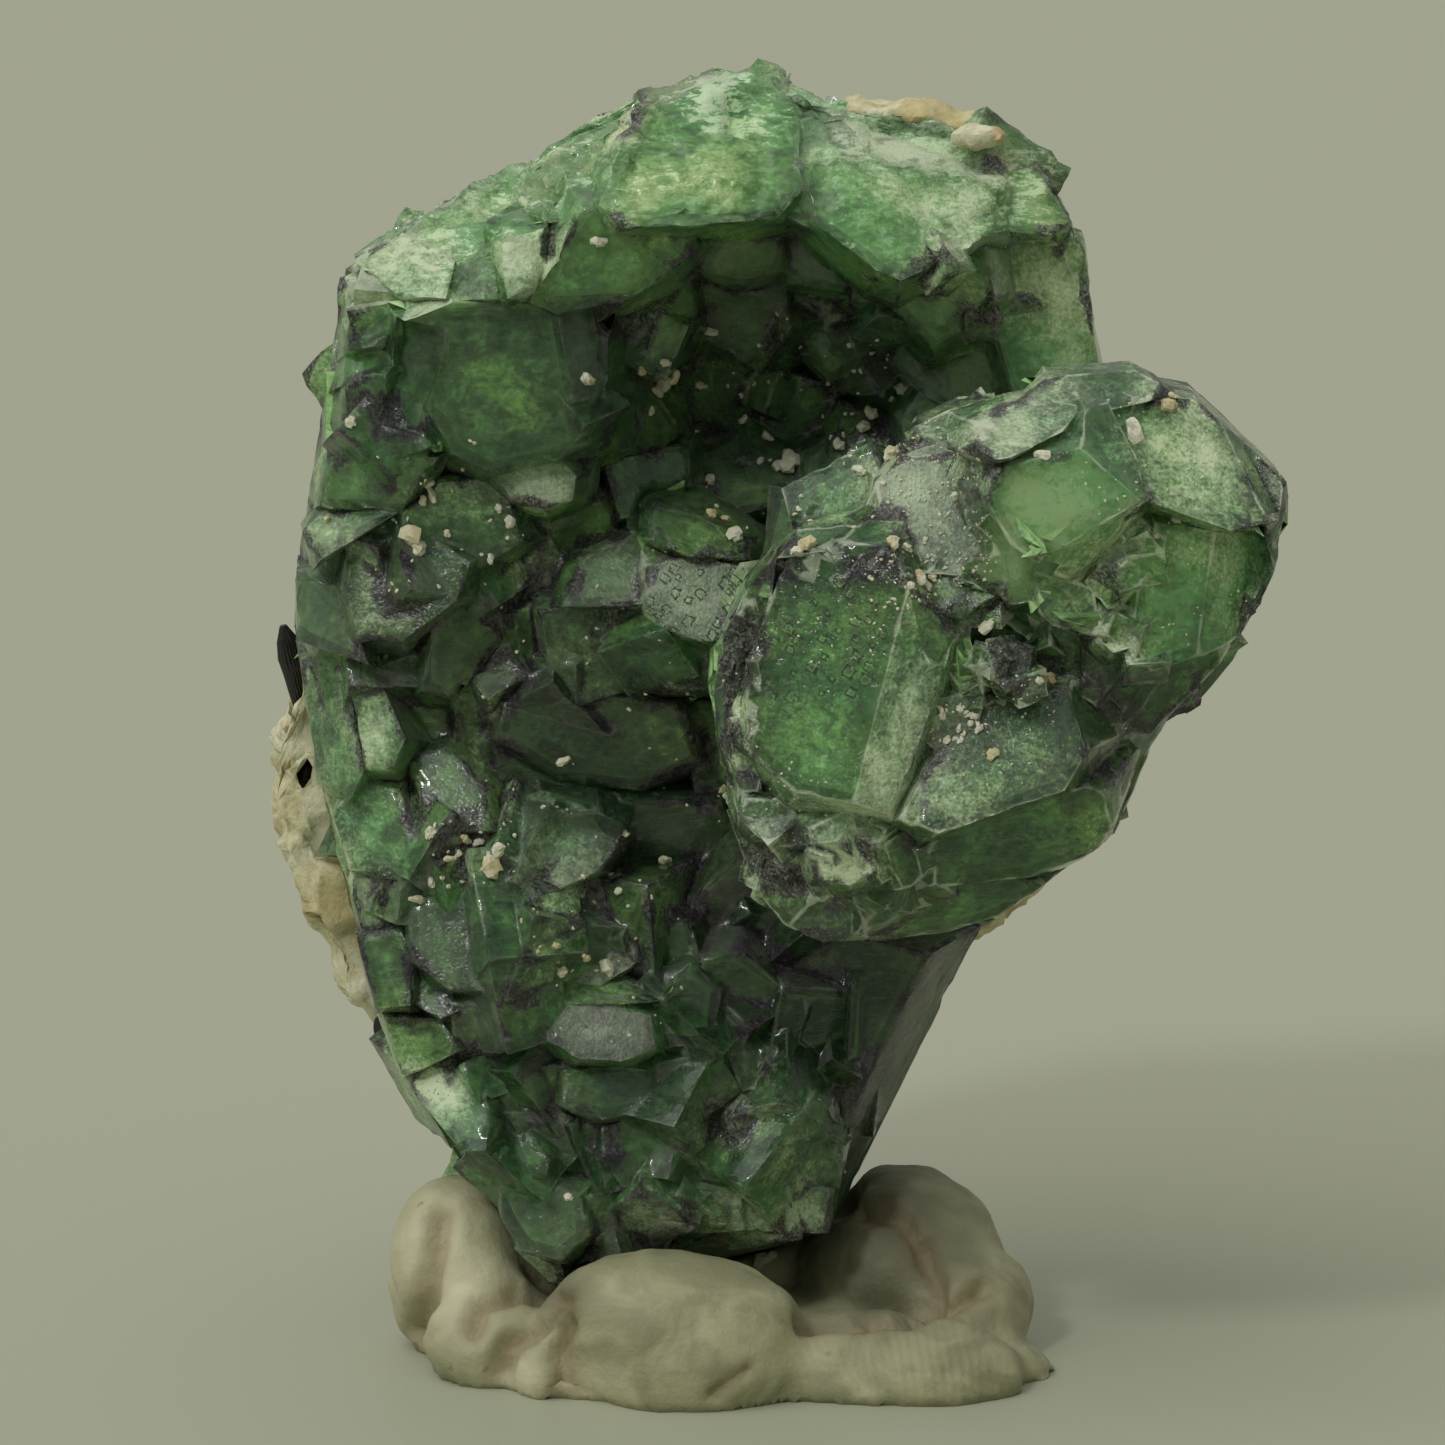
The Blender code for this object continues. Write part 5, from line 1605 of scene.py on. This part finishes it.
@dataclass
class Studio:
    """The plain floor, the soft light from above and the camera."""

    floor_side: float = 6.0
    floor_drop_mm: float = 0.02
    sensor_mm: float = 36.0
    sky: tuple = ((0.0, (0.28, 0.28, 0.24)), (0.25, (0.42, 0.42, 0.38)), (0.85, (1, 1, 0.97)))
    sky_strength: float = 0.62
    suns: tuple = (Sun("overhead", (-0.60, -0.42, 1.0), 55.0, 0.80), Sun("window", (-0.6, -0.9, 0.9), 7.0, 0.62))
    light_bounces: int = 4
    finish: FloorFinish = field(default_factory=FloorFinish)

    def build(self) -> None:
        """Builds the floor, the lights and the camera."""
        self.floor()
        self.world()
        for sun in self.suns:
            self.hang(sun)
        self.camera()
        scene = bpy.context.scene
        scene.view_settings.view_transform = "Standard"
        scene.cycles.max_bounces, scene.cycles.transmission_bounces = self.light_bounces, self.light_bounces
        scene.cycles.diffuse_bounces, scene.cycles.glossy_bounces = 2, 3

    def floor(self) -> None:
        """Lays the floor, a hair under the putty."""
        deselect()
        bpy.ops.mesh.primitive_plane_add(size=self.floor_side, location=(0, 0, -self.floor_drop_mm * MM))
        floor = bpy.context.active_object
        floor.name = "floor"
        floor.data.materials.append(self.finish.material())

    def world(self) -> None:
        """Lights the scene from all round, most from above."""
        world = bpy.data.worlds.new("soft_room")
        graph = Graph(world, "Generated", 1.0)
        height = graph.value("ShaderNodeSeparateXYZ", None, {0: graph.place}, "Z")
        sockets = {"Color": graph.ramp(height, self.sky), "Strength": self.sky_strength}
        background = graph.node("ShaderNodeBackground", None, sockets)
        graph.node("ShaderNodeOutputWorld", None, {"Surface": background.outputs[0]})
        bpy.context.scene.world = world

    @staticmethod
    def hang(sun: Sun) -> None:
        """Adds a sun, turned to shine from its place in the sky."""
        data = bpy.data.lights.new(sun.name, "SUN")
        data.angle = math.radians(sun.width_degrees)
        data.energy = sun.strength
        add_object(sun.name, data).rotation_euler = Vector(sun.source).to_track_quat("Z", "Y").to_euler()

    def camera(self) -> None:
        """Sets the camera where the front view is from."""
        data = bpy.data.cameras.new("front")
        data.sensor_width = self.sensor_mm
        data.lens = VIEW.spread / VIEW.width * self.sensor_mm
        data.clip_start, data.clip_end = 0.01, 20.0
        camera = add_object("front", data)
        camera.location = VIEW.eye()
        camera.rotation_euler = (math.radians(90 - VIEW.tilt_degrees), 0, 0)
        bpy.context.scene.camera = camera


def settle(piece: bpy.types.Object) -> None:
    """Hands a finished piece to the specimen's body and reports it."""
    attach(piece, BODY)
    LOG.info("%s: %d faces", piece.name, len(piece.data.polygons))


def main() -> None:
    """Builds the specimen, then the studio around it."""
    logging.basicConfig(level=logging.INFO, format="%(message)s")
    noise.seed_set(NOISE_SEED)
    crystals = FluoriteMass().build()
    for piece in crystals:
        settle(piece)
    feldspar = FeldsparCrust()
    crust = feldspar.build()
    settle(crust)
    settle(feldspar.rim_knobs(Surface([crystals[0]]), crust.data.materials[0]))
    for prism in SchorlPrisms().build():
        settle(prism)
    putty = Putty().build()
    settle(putty)
    grains = Grains().build(Surface([crystals[0], crust, putty]))
    settle(grains)
    Studio().build()


if __name__ == "__main__":
    main()
